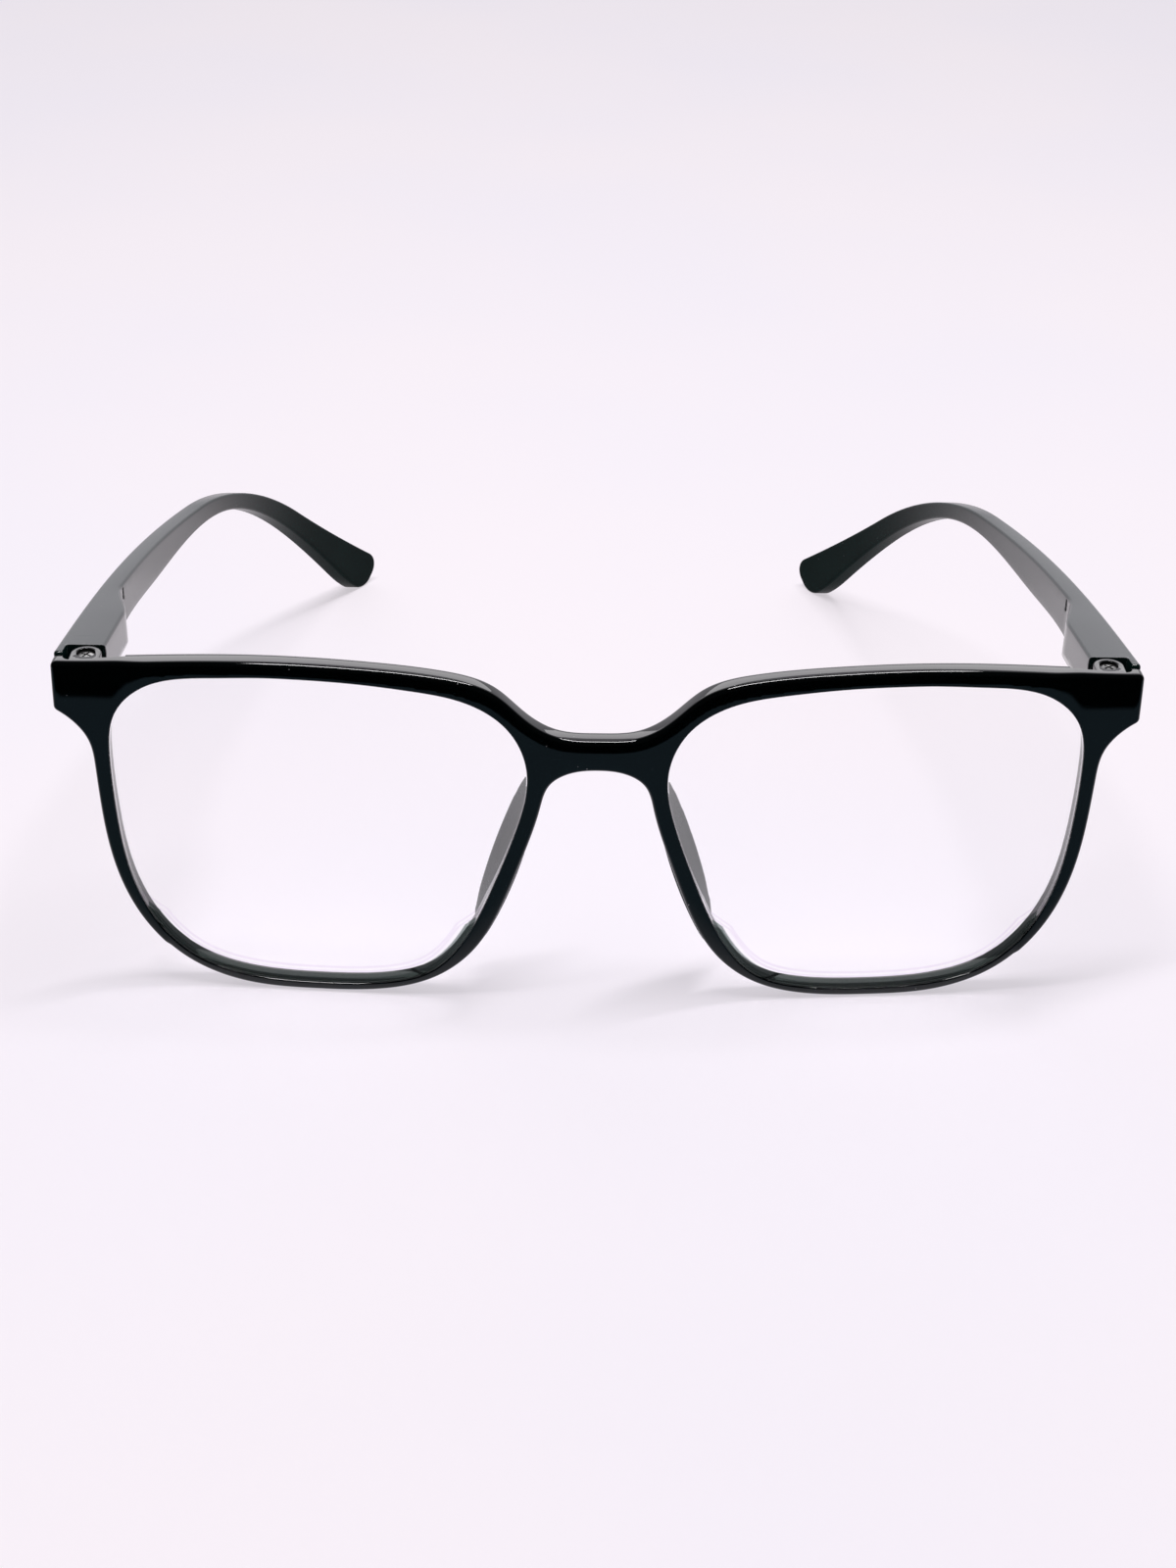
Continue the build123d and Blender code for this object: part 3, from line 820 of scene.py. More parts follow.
@dataclass(frozen=True)
class StudioPaper:
    """The pale paper that the glasses stand on, with a painted reflection: to glossy rays it is dark in
    front.
    """

    name: str
    warm: Colour
    cool: Colour
    glow: float
    painted_reflection_colour: Colour
    painted_reflection_edges: tuple[Pair, Pair]
    cloud_scale: float = 0.006
    cloud_band: Pair = (0.35, 0.65)
    fibre_scale: float = 1.2
    fibre_depth: float = 0.004
    fibre_roughness: float = 0.05
    roughness: float = 0.9
    shine: float = 0.1

    def make(self) -> bpy.types.Material:
        """Builds the material."""
        paint = Paint(self.name)
        clouds = paint.noise(self.cloud_scale, 2).between(*self.cloud_band)
        fibres = paint.noise(self.fibre_scale, 4)
        colour = paint.blend(clouds, self.warm, self.cool)
        paper = paint.surface(
            {
                "Base Color": colour,
                "Roughness": self.roughness + fibres * self.fibre_roughness,
                "Specular IOR Level": self.shine,
                "Normal": paint.bump(fibres, self.fibre_depth),
            }
        )
        camera, glossy, passed = paint.rays("Camera", "Glossy", "Transmission")
        lit = paint.mix(camera.larger(passed) * self.glow, paper, paint.emission(colour))
        # Painted reflection: glossy rays see black far in front, then the painted reflection colour, then
        # the paper's own colour.
        depth = paint.depth()
        far, near = (depth.between(*(edge * MM for edge in edges)) for edges in self.painted_reflection_edges)
        dim = paint.blend(far, (0.0, 0.0, 0.0), self.painted_reflection_colour)
        mirror = paint.emission(paint.blend(near, dim, colour))
        return paint.finished(paint.mix(glossy * (1 - passed), lit, mirror))


FRONT_GLOSS = MouldedPlastic(
    name="front_gloss_black",
    deep=(0.0003, 0.0008, 0.0009),
    pale=(0.0006, 0.0013, 0.0015),
    roughness=0.028,
    roughness_spread=0.02,
    grain=6.0,
    grain_depth=0.0002,
    wave_depth=0.006,
    scuff=0.03,
    shine=0.50,
    dust=0.50,
)
TEMPLE_SATIN = MouldedPlastic(
    name="temple_satin_black",
    deep=(0.0008, 0.0075, 0.0068),
    pale=(0.0018, 0.0115, 0.0100),
    roughness=0.23,
    roughness_spread=0.05,
    grain=14.0,
    grain_depth=0.0010,
    wave_depth=0.002,
    scuff=0.03,
    shine=0.03,
    dust=0.20,
    coat_ends=(0.0, 52.0),
)
PAD_SATIN = MouldedPlastic(
    name="nose_pad_satin",
    deep=(0.006, 0.014, 0.012),
    pale=(0.011, 0.022, 0.019),
    roughness=0.24,
    roughness_spread=0.06,
    grain=16.0,
    grain_depth=0.0012,
    wave_depth=0.002,
    scuff=0.04,
    shine=0.90,
)
LENS_CLEAR = ClearLens("lens_clear_polymer")
SCREW_STEEL = TurnedMetal("screw_bright_steel", (0.34, 0.34, 0.33), (0.12, 0.12, 0.12), 0.24)
BUSH_BRASS = TurnedMetal("bush_brass", (0.83, 0.66, 0.36), (0.52, 0.39, 0.20), 0.28)
PAPER = StudioPaper(
    name="studio_paper",
    warm=(0.925, 0.870, 0.920),
    cool=(0.905, 0.860, 0.925),
    glow=0.62,
    # Painted reflection of the paper in front, as glossy rays see it.
    painted_reflection_colour=(0.12, 0.19, 0.24),
    painted_reflection_edges=((-178.0, -168.0), (-90.0, -50.0)),
)


def dress(piece: bpy.types.Object, material: bpy.types.Material) -> None:
    """Gives a piece one finish."""
    piece.data.materials.clear()
    piece.data.materials.append(material)


# ---- The shared layout --------------------------------------------------------------------


@dataclass(frozen=True)
class Layout:
    """Sizes that more than one sub-assembly needs, as the CAD source has them."""

    lens_distance: float = 18.3
    opening_width: float = 53.85
    opening_height: float = 46.05
    nasal_rim: float = 2.3
    temporal_rim: float = 2.1
    brow_rim: float = 2.05
    low_rim: float = 1.3
    rim_depth: float = 3.3
    front_width: float = 139.6
    bow_sag: float = 4.5
    pin_x: float = 65.7
    pin_y: float = 8.2
    knuckle_radius: float = 1.95
    lug_top: float = 47.45
    lug_thickness: float = 2.05
    tongue_thickness: float = 2.0
    tongue_gap: float = 0.1
    shank_hole: float = 1.48
    lip_width: float = 1.4
    lip_rear: float = 7.4
    lip_gap: float = 0.1
    front_y: float = -66.9991
    pitch: float = 0.28
    knuckle_pitch: float = 0.15

    @property
    def bow_radius(self) -> float:
        """The radius of the front's bow."""
        half = self.front_width / 2
        return (half**2 + self.bow_sag**2) / (2 * self.bow_sag)

    @property
    def front_height(self) -> float:
        """The height of the front."""
        return self.low_rim + self.opening_height + self.brow_rim

    @property
    def upper_lug_low(self) -> float:
        """The underside of the upper hinge lug."""
        return self.lug_top - self.lug_thickness

    @property
    def tongue_low(self) -> float:
        """The underside of the temple's knuckle."""
        return self.upper_lug_low - self.tongue_gap - self.tongue_thickness

    @property
    def lower_lug_low(self) -> float:
        """The underside of the lower hinge lug."""
        return self.tongue_low - self.tongue_gap - self.lug_thickness

    @property
    def head_front(self) -> float:
        """How far behind the bridge a temple's head starts."""
        return self.lip_rear + self.lip_gap

    def opening_point(self, across: float, up: float) -> Pair:
        """A point of the right lens opening's box."""
        return (
            self.lens_distance / 2 + across * self.opening_width,
            self.low_rim + up * self.opening_height,
        )

    def opening(self, side: Side, growth: float = 0.0) -> np.ndarray:
        """The outline of a lens opening, or one that lies a growth outside it.

        Args:
            side: The side of the opening.
            growth: How far outside the opening the outline lies.

        Returns:
            The outline's points, with the rim on its right.
        """
        shares = (
            (0.590, 1.000), (0.400, 0.993), (0.270, 0.977), (0.149, 0.947), (0.049, 0.869), (0.000, 0.736),
            (0.021, 0.558), (0.081, 0.354), (0.157, 0.159), (0.235, 0.056), (0.359, 0.009),
            (0.517, 0.000), (0.684, 0.012), (0.822, 0.067), (0.918, 0.182), (0.974, 0.345),
            (0.996, 0.547), (1.000, 0.721), (0.980, 0.858), (0.903, 0.951), (0.731, 0.992),
        )
        sill = 11
        points = [self.opening_point(*share) for share in shares]
        nose = smooth_run(points[: sill + 1], (-1, 0), (1, 0), self.pitch)
        temple = smooth_run([*points[sill:], points[0]], (1, 0), (-1, 0), self.pitch)
        loop = join_runs([nose, temple], [0, 0]) * (side.value, 1)
        return shifted(turned(loop, clockwise=False), growth)

    def knuckle(self, stem_end: float) -> np.ndarray:
        """A hinge knuckle in plan: a round about the pin on a stem as wide."""
        radius = self.knuckle_radius
        left, right = self.pin_x - radius, self.pin_x + radius
        ahead = stem_end > self.pin_y
        half = arc_run((self.pin_x, self.pin_y), radius, 180, 360 if ahead else 0, self.knuckle_pitch)
        corners = [(right, self.pin_y), (right, stem_end), (left, stem_end), (left, self.pin_y)]
        stem = [straight_run(a, b, LINE_PITCH) for a, b in zip(corners, corners[1:])]
        return turned(join_runs([half, *stem], [0] * 4), clockwise=True)

    def round_hole(self, radius: float) -> np.ndarray:
        """A round hole about the hinge pin, with the solid on its right."""
        hole = arc_run((self.pin_x, self.pin_y), radius, 0, 360, ROUND_PITCH)[:-1]
        return turned(hole, clockwise=False)

    def upright(self, low: float, top: float) -> Lift:
        """The lift of a slab that is drawn in plan and stands between two heights."""

        def lift(flat: np.ndarray, depth: float, face: Face) -> np.ndarray:
            """Places plan points at a height."""
            height = top - depth if face is Face.NEAR else low + depth
            return np.column_stack((flat[:, 0], flat[:, 1] + self.front_y, np.full(len(flat), height)))

        return lift

    def block(
        self, name: str, corners: Sequence[Pair], radii: Sequence[float], low: float, top: float
    ) -> bpy.types.Mesh:
        """A cutter with straight walls between two heights.

        Args:
            name: The mesh's name.
            corners: Its corners in plan, in order.
            radii: The rounding of the corner after each, or 0.
            low: The height of its underside.
            top: The height of its top.

        Returns:
            The closed mesh.
        """
        runs = [straight_run(a, b, CUTTER_PITCH) for a, b in zip(corners, [*corners[1:], corners[0]])]
        slab = Slab(self.upright(low, top), 1.0)
        slab.wall(turned(join_runs(runs, radii), clockwise=True), CUTTER_EDGE)
        return slab.mesh(name)


# ---- The front ----------------------------------------------------------------------------


@dataclass
class Front:
    """The moulded front: two rims, the bridge, the end pieces, the hinge lugs and the nose pads."""

    layout: Layout
    bridge_top: float = 39.6
    bridge_arch: float = 35.2
    end_top: float = 47.55
    end_low: float = 41.0
    end_corner: float = 0.8
    crown_depth: float = 0.28
    end_crown_depth: float = 0.46
    crown_reach: float = 2.4
    end_crown_reach: float = 8.0
    end_start: float = 57.0
    end_fade: float = 5.0
    rim_edge: Edge = Edge(0.50, 0.50, 0.60, 1.00, 7)
    opening_edge: Edge = Edge(0.26, 0.26, 0.20, 0.20, 5)
    lug_edge: Edge = Edge(0.16, 0.16, 0.10, 0.10, 3)
    seat_inner: float = 60.2
    seat_low: float = 40.4
    seat_rear: float = 5.7
    seat_corner: float = 1.2
    lip_corner: float = 0.25
    lug_sink: float = 0.6
    head_recess: float = 2.4
    bush_hole: float = 2.44
    pad_reach: float = 4.9
    pad_root_sink: float = 1.0
    pad_root: tuple[Pair, Pair] = ((-0.032, 0.700), (0.112, 0.145))
    pad_rear: tuple[Pair, Pair] = ((0.002, 0.640), (0.133, 0.155))
    pad_bulges: tuple[Pair, Pair] = ((0.4, 1.0), (-1.6, -1.0))
    pad_swell: float = 0.6
    pad_trim: float = 2.8
    pad_steps: int = 49
    pad_straight: float = 0.86
    pad_straight_steps: int = 12
    pad_round_steps: int = 8
    pad_round_loss: float = 0.55
    pad_closing: Triple = (0.36, 0.25, 0.14)
    pieces: list[bpy.types.Object] = field(default_factory=list)

    def rim_point(self, across: float, up: float) -> Pair:
        """A point of the right rim's box."""
        at = self.layout
        width = at.nasal_rim + at.opening_width + at.temporal_rim
        return at.lens_distance / 2 - at.nasal_rim + across * width, up * at.front_height

    def outline(self) -> np.ndarray:
        """The outline of the whole front, with the plastic on its right."""
        at = self.layout
        half = at.front_width / 2
        brow = (
            (0.042, 0.860), (0.109, 0.931), (0.226, 0.975), (0.397, 0.994), (0.586, 1.000), (0.844, 0.985),
        )
        low = (
            (1.000, 0.668), (0.994, 0.526), (0.974, 0.360), (0.923, 0.206), (0.818, 0.073),
            (0.672, 0.009), (0.518, 0.000), (0.372, 0.009), (0.257, 0.049), (0.167, 0.134),
            (0.094, 0.289), (0.049, 0.437), (0.009, 0.593),
        )
        foot = 6
        side, height = self.rim_point(*low[0])
        notch = [
            (side + across * (half - side), height + up * (self.end_low - height))
            for across, up in ((0.489, 0.790), (0.138, 0.500))
        ]
        middle = at.lens_distance / 2
        shoulder = (0.570 * middle, self.bridge_top + 0.046 * (at.front_height - self.bridge_top))
        arch = [(across * middle, up * self.bridge_arch) for across, up in ((0.656, 0.940), (0.350, 0.989))]
        top_start, top_end = (0.0, self.bridge_top), (half, self.end_top)
        low_start, low_end = (half, self.end_low), (0.0, self.bridge_arch)
        rim = [self.rim_point(*share) for share in low]
        runs = [
            smooth_run(
                [top_start, shoulder, *[self.rim_point(*share) for share in brow], top_end],
                (1, 0), (1, -0.05), at.pitch,
            ),
            straight_run(top_end, low_start, at.pitch),
            smooth_run([low_start, *notch, *rim[: foot + 1]], (-1, -0.5), (-1, 0), at.pitch),
            smooth_run([*rim[foot:], *arch, low_end], (-1, 0), (-1, 0), at.pitch),
        ]
        left = [run[::-1] * (-1, 1) for run in runs[::-1]]
        corners = [self.end_corner, self.end_corner, 0, 0, 0, self.end_corner, self.end_corner, 0]
        return turned(join_runs([*runs, *left], corners), clockwise=True)

    def build_shell(self, bow: NodeTool, finish: bpy.types.Material) -> bpy.types.Object:
        """Builds rims, bridge and end pieces as one bowed slab with rounded edges."""
        at = self.layout
        outline = self.outline()
        border = KDTree(len(outline))
        for number, (x, z) in enumerate(outline):
            border.insert((x, z, 0), number)
        border.balance()

        def crown(flat: np.ndarray) -> np.ndarray:
            """How far the face falls away towards the outline."""
            near = np.array([border.find((x, z, 0))[2] for x, z in flat])
            side = np.abs(flat[:, 0])
            out = np.clip((side - self.end_start) / self.end_fade, 0, 1)
            out = out * out * (3 - 2 * out)
            slope = (at.front_height - self.end_top) / (at.front_width / 2 - self.end_start)
            below = self.end_top + slope * (at.front_width / 2 - side) * 0.75 - flat[:, 1]
            near = near + (np.maximum(below, 0) - near) * out
            reach = self.crown_reach + self.end_crown_reach * out
            return (self.crown_depth + self.end_crown_depth * out) * np.clip(1 - near / reach, 0, 1) ** 2

        def lift(flat: np.ndarray, depth: float, face: Face) -> np.ndarray:
            """Places points of the front view at a depth, still flat."""
            back = depth + crown(flat) if face is Face.NEAR else np.full(len(flat), at.rim_depth - depth)
            return np.column_stack((flat[:, 0], back, flat[:, 1]))

        slab = Slab(lift, 0.5)
        slab.wall(outline, self.rim_edge)
        for side in Side:
            slab.wall(at.opening(side), self.opening_edge)
        shell = place(slab.mesh("front_shell"), "front_shell")
        bow.use(
            shell, {"Bow radius": at.bow_radius * MM, "Front place": at.front_y * MM, "Finish": finish}
        )
        return shell

    def seat_cutter(self) -> bpy.types.Mesh:
        """The space behind the right end piece that the lugs and the temple's head take."""
        at = self.layout
        lip = at.front_width / 2 - at.lip_width
        side, far = at.front_width / 2 + OVERRUN, at.lip_rear + LONG_OVERRUN
        corners = [
            (self.seat_inner, self.seat_rear), (lip, self.seat_rear), (lip, at.lip_rear),
            (side, at.lip_rear), (side, far), (self.seat_inner, far),
        ]
        radii = [self.seat_corner, self.lip_corner, self.lip_corner, 0, 0, 0]
        return at.block("seat_cutter", corners, radii, self.seat_low, at.front_height + LONG_OVERRUN)

    def lug(self, low: float, top: float, bore: float) -> bpy.types.Mesh:
        """One of the right hinge lugs, with a round hole about the pin."""
        at = self.layout
        slab = Slab(at.upright(low, top), 0.6)
        slab.wall(at.knuckle(self.seat_rear - self.lug_sink), self.lug_edge)
        slab.wall(at.round_hole(bore / 2), Edge(0.06, 0.06, 0.06, 0.06, 2))
        return slab.mesh("lug")

    def pad_section(self, reach: float, fullness: float) -> np.ndarray:
        """The right nose pad's crescent at a reach from its root, at 0, to its rear, at 1.

        Args:
            reach: How far back the section lies, from 0 to 1.
            fullness: The share of its whole width and height that the section has.

        Returns:
            The section's points in the front view, in order.
        """
        ends = [
            np.array(self.layout.opening_point(*root)) * (1 - reach)
            + np.array(self.layout.opening_point(*rear)) * reach
            for root, rear in zip(self.pad_root, self.pad_rear)
        ]
        along = (ends[1] - ends[0]) / np.linalg.norm(ends[1] - ends[0])
        lensward = np.array((-along[1], along[0]))
        trim = along * self.pad_trim * (1 - fullness)
        shares = np.linspace(0, 1, self.pad_steps)[:, None]
        chord = ends[0] + trim + (ends[1] - ends[0] - 2 * trim) * shares
        swell = np.sin(math.pi * shares) ** self.pad_swell * fullness
        lens_side, nose_side = (
            chord + lensward * swell * (root + (rear - root) * reach) for root, rear in self.pad_bulges
        )
        return np.vstack((lens_side[:-1], nose_side[:0:-1]))

    def pad(self, side: Side) -> bpy.types.Mesh:
        """A nose pad, which flares back and away from the nose to a rounded rear edge."""
        at = self.layout
        root = at.rim_depth - self.pad_root_sink
        reach = self.pad_root_sink + self.pad_reach
        start, steps = self.pad_straight, self.pad_round_steps
        stages = [(start * k / self.pad_straight_steps, 1.0) for k in range(self.pad_straight_steps + 1)]
        for turn in (math.pi / 2 * k / steps for k in range(1, steps + 1)):
            fullness = 1 - self.pad_round_loss * (1 - math.cos(turn))
            stages.append((start + (1 - start) * math.sin(turn), fullness))
        stages += [(1.0, fullness) for fullness in self.pad_closing]
        rings = []
        for run, fullness in stages:
            loop = self.pad_section(run, fullness)
            back = np.full(len(loop), at.front_y + root + run * reach)
            rings.append(np.column_stack((loop[:, 0], back, loop[:, 1])))
        count = len(rings[0])
        faces = [face for k in range(1, len(rings)) for face in bridge((k - 1) * count, k * count, count)]
        last = (len(rings) - 1) * count
        faces += [tuple(range(count)), tuple(range(last, last + count))]
        mesh = solid_mesh(f"nose_pad_{side.word}", np.vstack(rings), faces)
        return mesh if side is Side.RIGHT else mirrored(mesh, f"nose_pad_{side.word}")

    def build(self, bow: NodeTool, gloss: bpy.types.Material, satin: bpy.types.Material) -> None:
        """Builds and dresses the front and its nose pads."""
        at = self.layout
        shell = self.build_shell(bow, gloss)
        cutter = self.seat_cutter()
        carved(shell, [mirrored(cutter, "seat_cutter_left"), cutter], 0.0)
        lugs = [
            self.lug(at.upper_lug_low, at.lug_top, self.head_recess),
            self.lug(at.lower_lug_low, at.lower_lug_low + at.lug_thickness, self.bush_hole),
        ]
        united(shell, [*[mirrored(lug, "lug_left") for lug in lugs], *lugs])
        dress(shell, gloss)
        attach(shell, "front")
        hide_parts("front_frame")
        self.pieces.append(shell)
        for side in Side:
            pad = place(self.pad(side), f"nose_pad_{side.word}")
            dress(pad, satin)
            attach(pad, "front")
            self.pieces.append(pad)


# ---- The lenses ---------------------------------------------------------------------------


@dataclass
class Lenses:
    """The two clear lenses, bowed like the front, with a bevel where the rims hold them."""

    layout: Layout
    thickness: float = 1.4
    setback: float = 0.5
    hold: float = 0.10
    bevel_width: float = 0.30
    bevel_depth: float = 0.20
    # Where the lens's painted shade fades out upwards, as shares of the front's height.
    shade_start: float = 0.22
    shade_fade: float = 0.12
    pieces: list[bpy.types.Object] = field(default_factory=list)

    def build_lens(self, side: Side, bow: NodeTool, finish: bpy.types.Material) -> bpy.types.Object:
        """Builds one lens."""
        at = self.layout

        def lift(flat: np.ndarray, depth: float, face: Face) -> np.ndarray:
            """Places points of the front view at a depth, still flat."""
            back = self.setback + (depth if face is Face.NEAR else self.thickness - depth)
            return np.column_stack((flat[:, 0], np.full(len(flat), back), flat[:, 1]))

        slab = Slab(lift, 1.1)
        loop = turned(at.opening(side, self.hold), clockwise=True)
        slab.wall(loop, Edge(self.bevel_width, self.bevel_depth, 0.10, 0.10, 4))
        lens = place(slab.mesh(f"lens_{side.word}_clear"), f"lens_{side.word}_clear")
        bow.use(lens, {"Bow radius": at.bow_radius * MM, "Front place": at.front_y * MM, "Finish": finish})
        lens.data.set_sharp_from_angle(angle=math.radians(10))
        self.mark_edge(lens, side)
        return lens

    def mark_edge(self, lens: bpy.types.Object, side: Side) -> None:
        """Writes each point's distance from the lens's edge, in millimetres, larger towards the brow."""
        mesh = lens.data
        places = np.zeros(len(mesh.vertices) * 3)
        mesh.vertices.foreach_get("co", places)
        flat = places.reshape(-1, 3)[:, (0, 2)] / MM
        loop = self.layout.opening(side, self.hold)
        near = np.sqrt(np.array([np.min(np.sum((loop - point) ** 2, axis=1)) for point in flat]))
        # Points above the low part are pushed 4 mm further in, so the painted shade and the mauve line show
        # only along the lower edge.
        high = np.clip((flat[:, 1] / self.layout.front_height - self.shade_start) / self.shade_fade, 0, 1)
        edge = mesh.attributes.new("edge", "FLOAT", "POINT")
        edge.data.foreach_set("value", (near + 4 * high).astype(np.float32))

    def build(self, bow: NodeTool, finish: bpy.types.Material) -> None:
        """Builds and dresses both lenses."""
        for side in Side:
            lens = self.build_lens(side, bow, finish)
            dress(lens, finish)
            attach(lens, "front")
            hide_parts(f"lens_{side.word}")
            self.pieces.append(lens)


# ---- The temples --------------------------------------------------------------------------


@dataclass
class Temples:
    """The two temples: thick heads with a hinge pocket, slender arms and wider ear ends."""

    layout: Layout
    top: float = 47.9
    head_height: float = 6.9
    head_run: float = 20.0
    paddle_height: float = 6.2
    arm_fall: float = 8.5
    straight: float = 73.0
    ear_radius: float = 66.0
    ear_turn: float = 32.0
    tip_low_radius: float = 2.4
    tip_high_radius: float = 3.0
    head_outer: float = 69.75
    head_inner: float = 63.6
    neck_start: float = 24.0
    neck_end: float = 37.0
    neck_thickness: float = 2.95
    tip_thickness: float = 2.4
    bow_lean: float = 1.6
    bow_inset: float = 26.4
    arm_edge: Edge = Edge(0.45, 0.45, 0.45, 0.45, 6)
    head_corner: float = 0.52
    pocket_gap: float = 0.25
    pocket_wall: float = 1.15
    pocket_corner: float = 0.45
    tongue_sink: float = 0.8
    soften: float = 0.10
    draft_width: float = 1.2
    draft_height: float = 2.4
    slot_place: float = 37.2
    slot_width: float = 0.8
    slot_height: float = 1.7
    slot_depth: float = 0.6
    slot_below_top: float = 0.45
    pieces: list[bpy.types.Object] = field(default_factory=list)

    def __post_init__(self) -> None:
        """Works out the sizes that follow from the fields."""
        self.fall = math.radians(self.arm_fall)
        self.tail = math.radians(self.arm_fall + self.ear_turn)
        self.ear_run = self.ear_radius * math.radians(self.ear_turn)
        drop = self.straight * math.sin(self.fall)
        drop += self.ear_radius * (math.cos(self.fall) - math.cos(self.tail))
        rise = self.paddle_height * math.cos(self.tail)
        rise += self.tip_low_radius * (1 - math.sin(self.tail) - math.cos(self.tail))
        self.run = self.straight + self.ear_run + (self.top - drop - rise) / math.sin(self.tail)
        rear = self.top_edge(self.run)[0]
        rear += self.tip_high_radius * (1 - math.cos(self.tail) - math.sin(self.tail))
        self.reach = rear - self.layout.head_front
        self.inner_line = self.draw_inner()

    def top_edge(self, run: float, depth: float = 0.0) -> Pair:
        """The point a depth square below the top edge, a run along it from the hinge."""
        heading = self.fall + min(max(run - self.straight, 0), self.ear_run) / self.ear_radius
        ahead = min(run, self.straight)
        tail = max(run - self.straight - self.ear_run, 0)
        y = self.layout.head_front + ahead * math.cos(self.fall) + tail * math.cos(heading)
        y += self.ear_radius * (math.sin(heading) - math.sin(self.fall))
        z = self.top - ahead * math.sin(self.fall) - tail * math.sin(heading)
        z -= self.ear_radius * (math.cos(self.fall) - math.cos(heading))
        return y - depth * math.sin(heading), z - depth * math.cos(heading)

    def outer_x(self, y: np.ndarray) -> np.ndarray:
        """The outer face in plan."""
        share = (y - self.layout.head_front) / self.reach
        return self.head_outer - self.bow_lean * share - self.bow_inset * share**3

    def draw_inner(self) -> np.ndarray:
        """The inner face in plan, from the head to past the tip."""
        start = (self.neck_end - self.layout.head_front) / self.reach
        end = 1.04
        taper = (self.neck_thickness - self.tip_thickness) / (end - start)
        points, headings = [], []
        for step in np.linspace(start, end, 7):
            slope = (self.bow_lean + 3 * self.bow_inset * step**2) / self.reach
            thickness = self.neck_thickness - taper * (step - start)
            y = self.layout.head_front + step * self.reach
            x = float(self.outer_x(np.array(y))) - thickness * math.hypot(1, slope)
            points.append((x, y))
            headings.append((-slope, 1.0))
        neck = smooth_run([(self.head_inner, self.neck_start), points[0]], (0, 1), headings[0], 0.2)
        arm = smooth_run(points, headings[0], headings[-1], 0.5)
        head_front = self.layout.head_front - LONG_OVERRUN
        head = straight_run((self.head_inner, head_front), (self.head_inner, self.neck_start), LINE_PITCH)
        return np.vstack((head[:-1], neck[:-1], arm))

    def inner_x(self, y: np.ndarray) -> np.ndarray:
        """The inner face in plan."""
        return np.interp(y, self.inner_line[:, 1], self.inner_line[:, 0])

    def side_view(self) -> np.ndarray:
        """The outline from the side: straight top, bend over the ear, rounded tip, waisted underside."""
        pitch = 0.35
        shares = (
            (0.230, 0.952), (0.360, 0.847), (0.480, 0.589), (0.610, 0.424), (0.735, 0.490), (0.850, 0.620),
            (0.930, 0.860),
        )
        ear_end = self.straight + self.ear_run
        bend = np.array([self.top_edge(run) for run in np.linspace(self.straight, ear_end, 150)])
        tip_high, tip_low = self.top_edge(self.run), self.top_edge(self.run, self.paddle_height)
        low = [self.top_edge(run * self.run, height * self.paddle_height) for run, height in shares[::-1]]
        head_end, head_start = (self.top_edge(run, self.head_height) for run in (self.head_run, 0))
        front = self.layout.head_front
        low_end = self.top_edge(self.run - self.tip_low_radius, self.paddle_height)
        runs = [
            straight_run(self.top_edge(0), self.top_edge(self.straight), pitch),
            bend,
            straight_run(self.top_edge(ear_end), tip_high, pitch),
            straight_run(tip_high, tip_low, 0.15),
            straight_run(tip_low, low_end, 0.1),
            smooth_run(
                [low_end, *low, head_end],
                (-math.cos(self.tail), math.sin(self.tail)),
                (-math.cos(self.fall), math.sin(self.fall)),
                pitch,
            ),
            straight_run(head_end, (front, head_start[1]), pitch),
            straight_run((front, head_start[1]), self.top_edge(0), pitch),
        ]
        radii = [0, 0, self.tip_high_radius, self.tip_low_radius * 0.98, 0, 0]
        radii += [self.head_corner, self.head_corner]
        return turned(join_runs(runs, radii), clockwise=True)

    def build_arm(self) -> bpy.types.Mesh:
        """The right temple without its hinge pocket."""
        front_y = self.layout.front_y

        def lift(flat: np.ndarray, depth: float, face: Face) -> np.ndarray:
            """Places points of the side view on the outer or inner face."""
            y = flat[:, 0]
            x = self.outer_x(y) - depth if face is Face.NEAR else self.inner_x(y) + depth
            return np.column_stack((x, y + front_y, flat[:, 1]))

        slab = Slab(lift, 0.8)
        slab.wall(self.side_view(), self.arm_edge)
        return slab.mesh("temple_right_arm")

    def pocket_cutter(self) -> bpy.types.Mesh:
        """The pocket round the hinge lugs, open above, below and inwards."""
        at = self.layout
        left, right = self.head_inner - OVERRUN, self.head_outer - self.pocket_wall
        front, rear = at.head_front - OVERRUN, at.pin_y + at.knuckle_radius + self.pocket_gap
        corners = [(left, front), (right, front), (right, rear), (left, rear)]
        low, top = self.top - self.head_height - 2 * LONG_OVERRUN, self.top + LONG_OVERRUN
        return at.block("pocket_cutter", corners, [0, self.pocket_corner, 0, 0], low, top)

    def draft_cutter(self) -> bpy.types.Mesh:
        """The wedge off the lower inner edge of the head."""
        at = self.layout
        origin = np.array(
            (self.head_inner, at.front_y + at.head_front, self.top - self.head_height / math.cos(self.fall))
        )
        across = np.array((-1.0, 0.0, 0.0))
        along = np.array((0.0, math.cos(self.fall), -math.sin(self.fall)))
        up = np.cross(along, across)
        corners = [
            (0, self.draft_height), (-self.draft_width, 0), (-self.draft_width, -OVERRUN),
            (OVERRUN, -OVERRUN), (OVERRUN, self.draft_height),
        ]
        near, far = (
            [origin + across * a + up * b + along * step for a, b in corners]
            for step in (-OVERRUN, self.neck_end - at.head_front + OVERRUN)
        )
        return prism("draft_cutter", near, far)

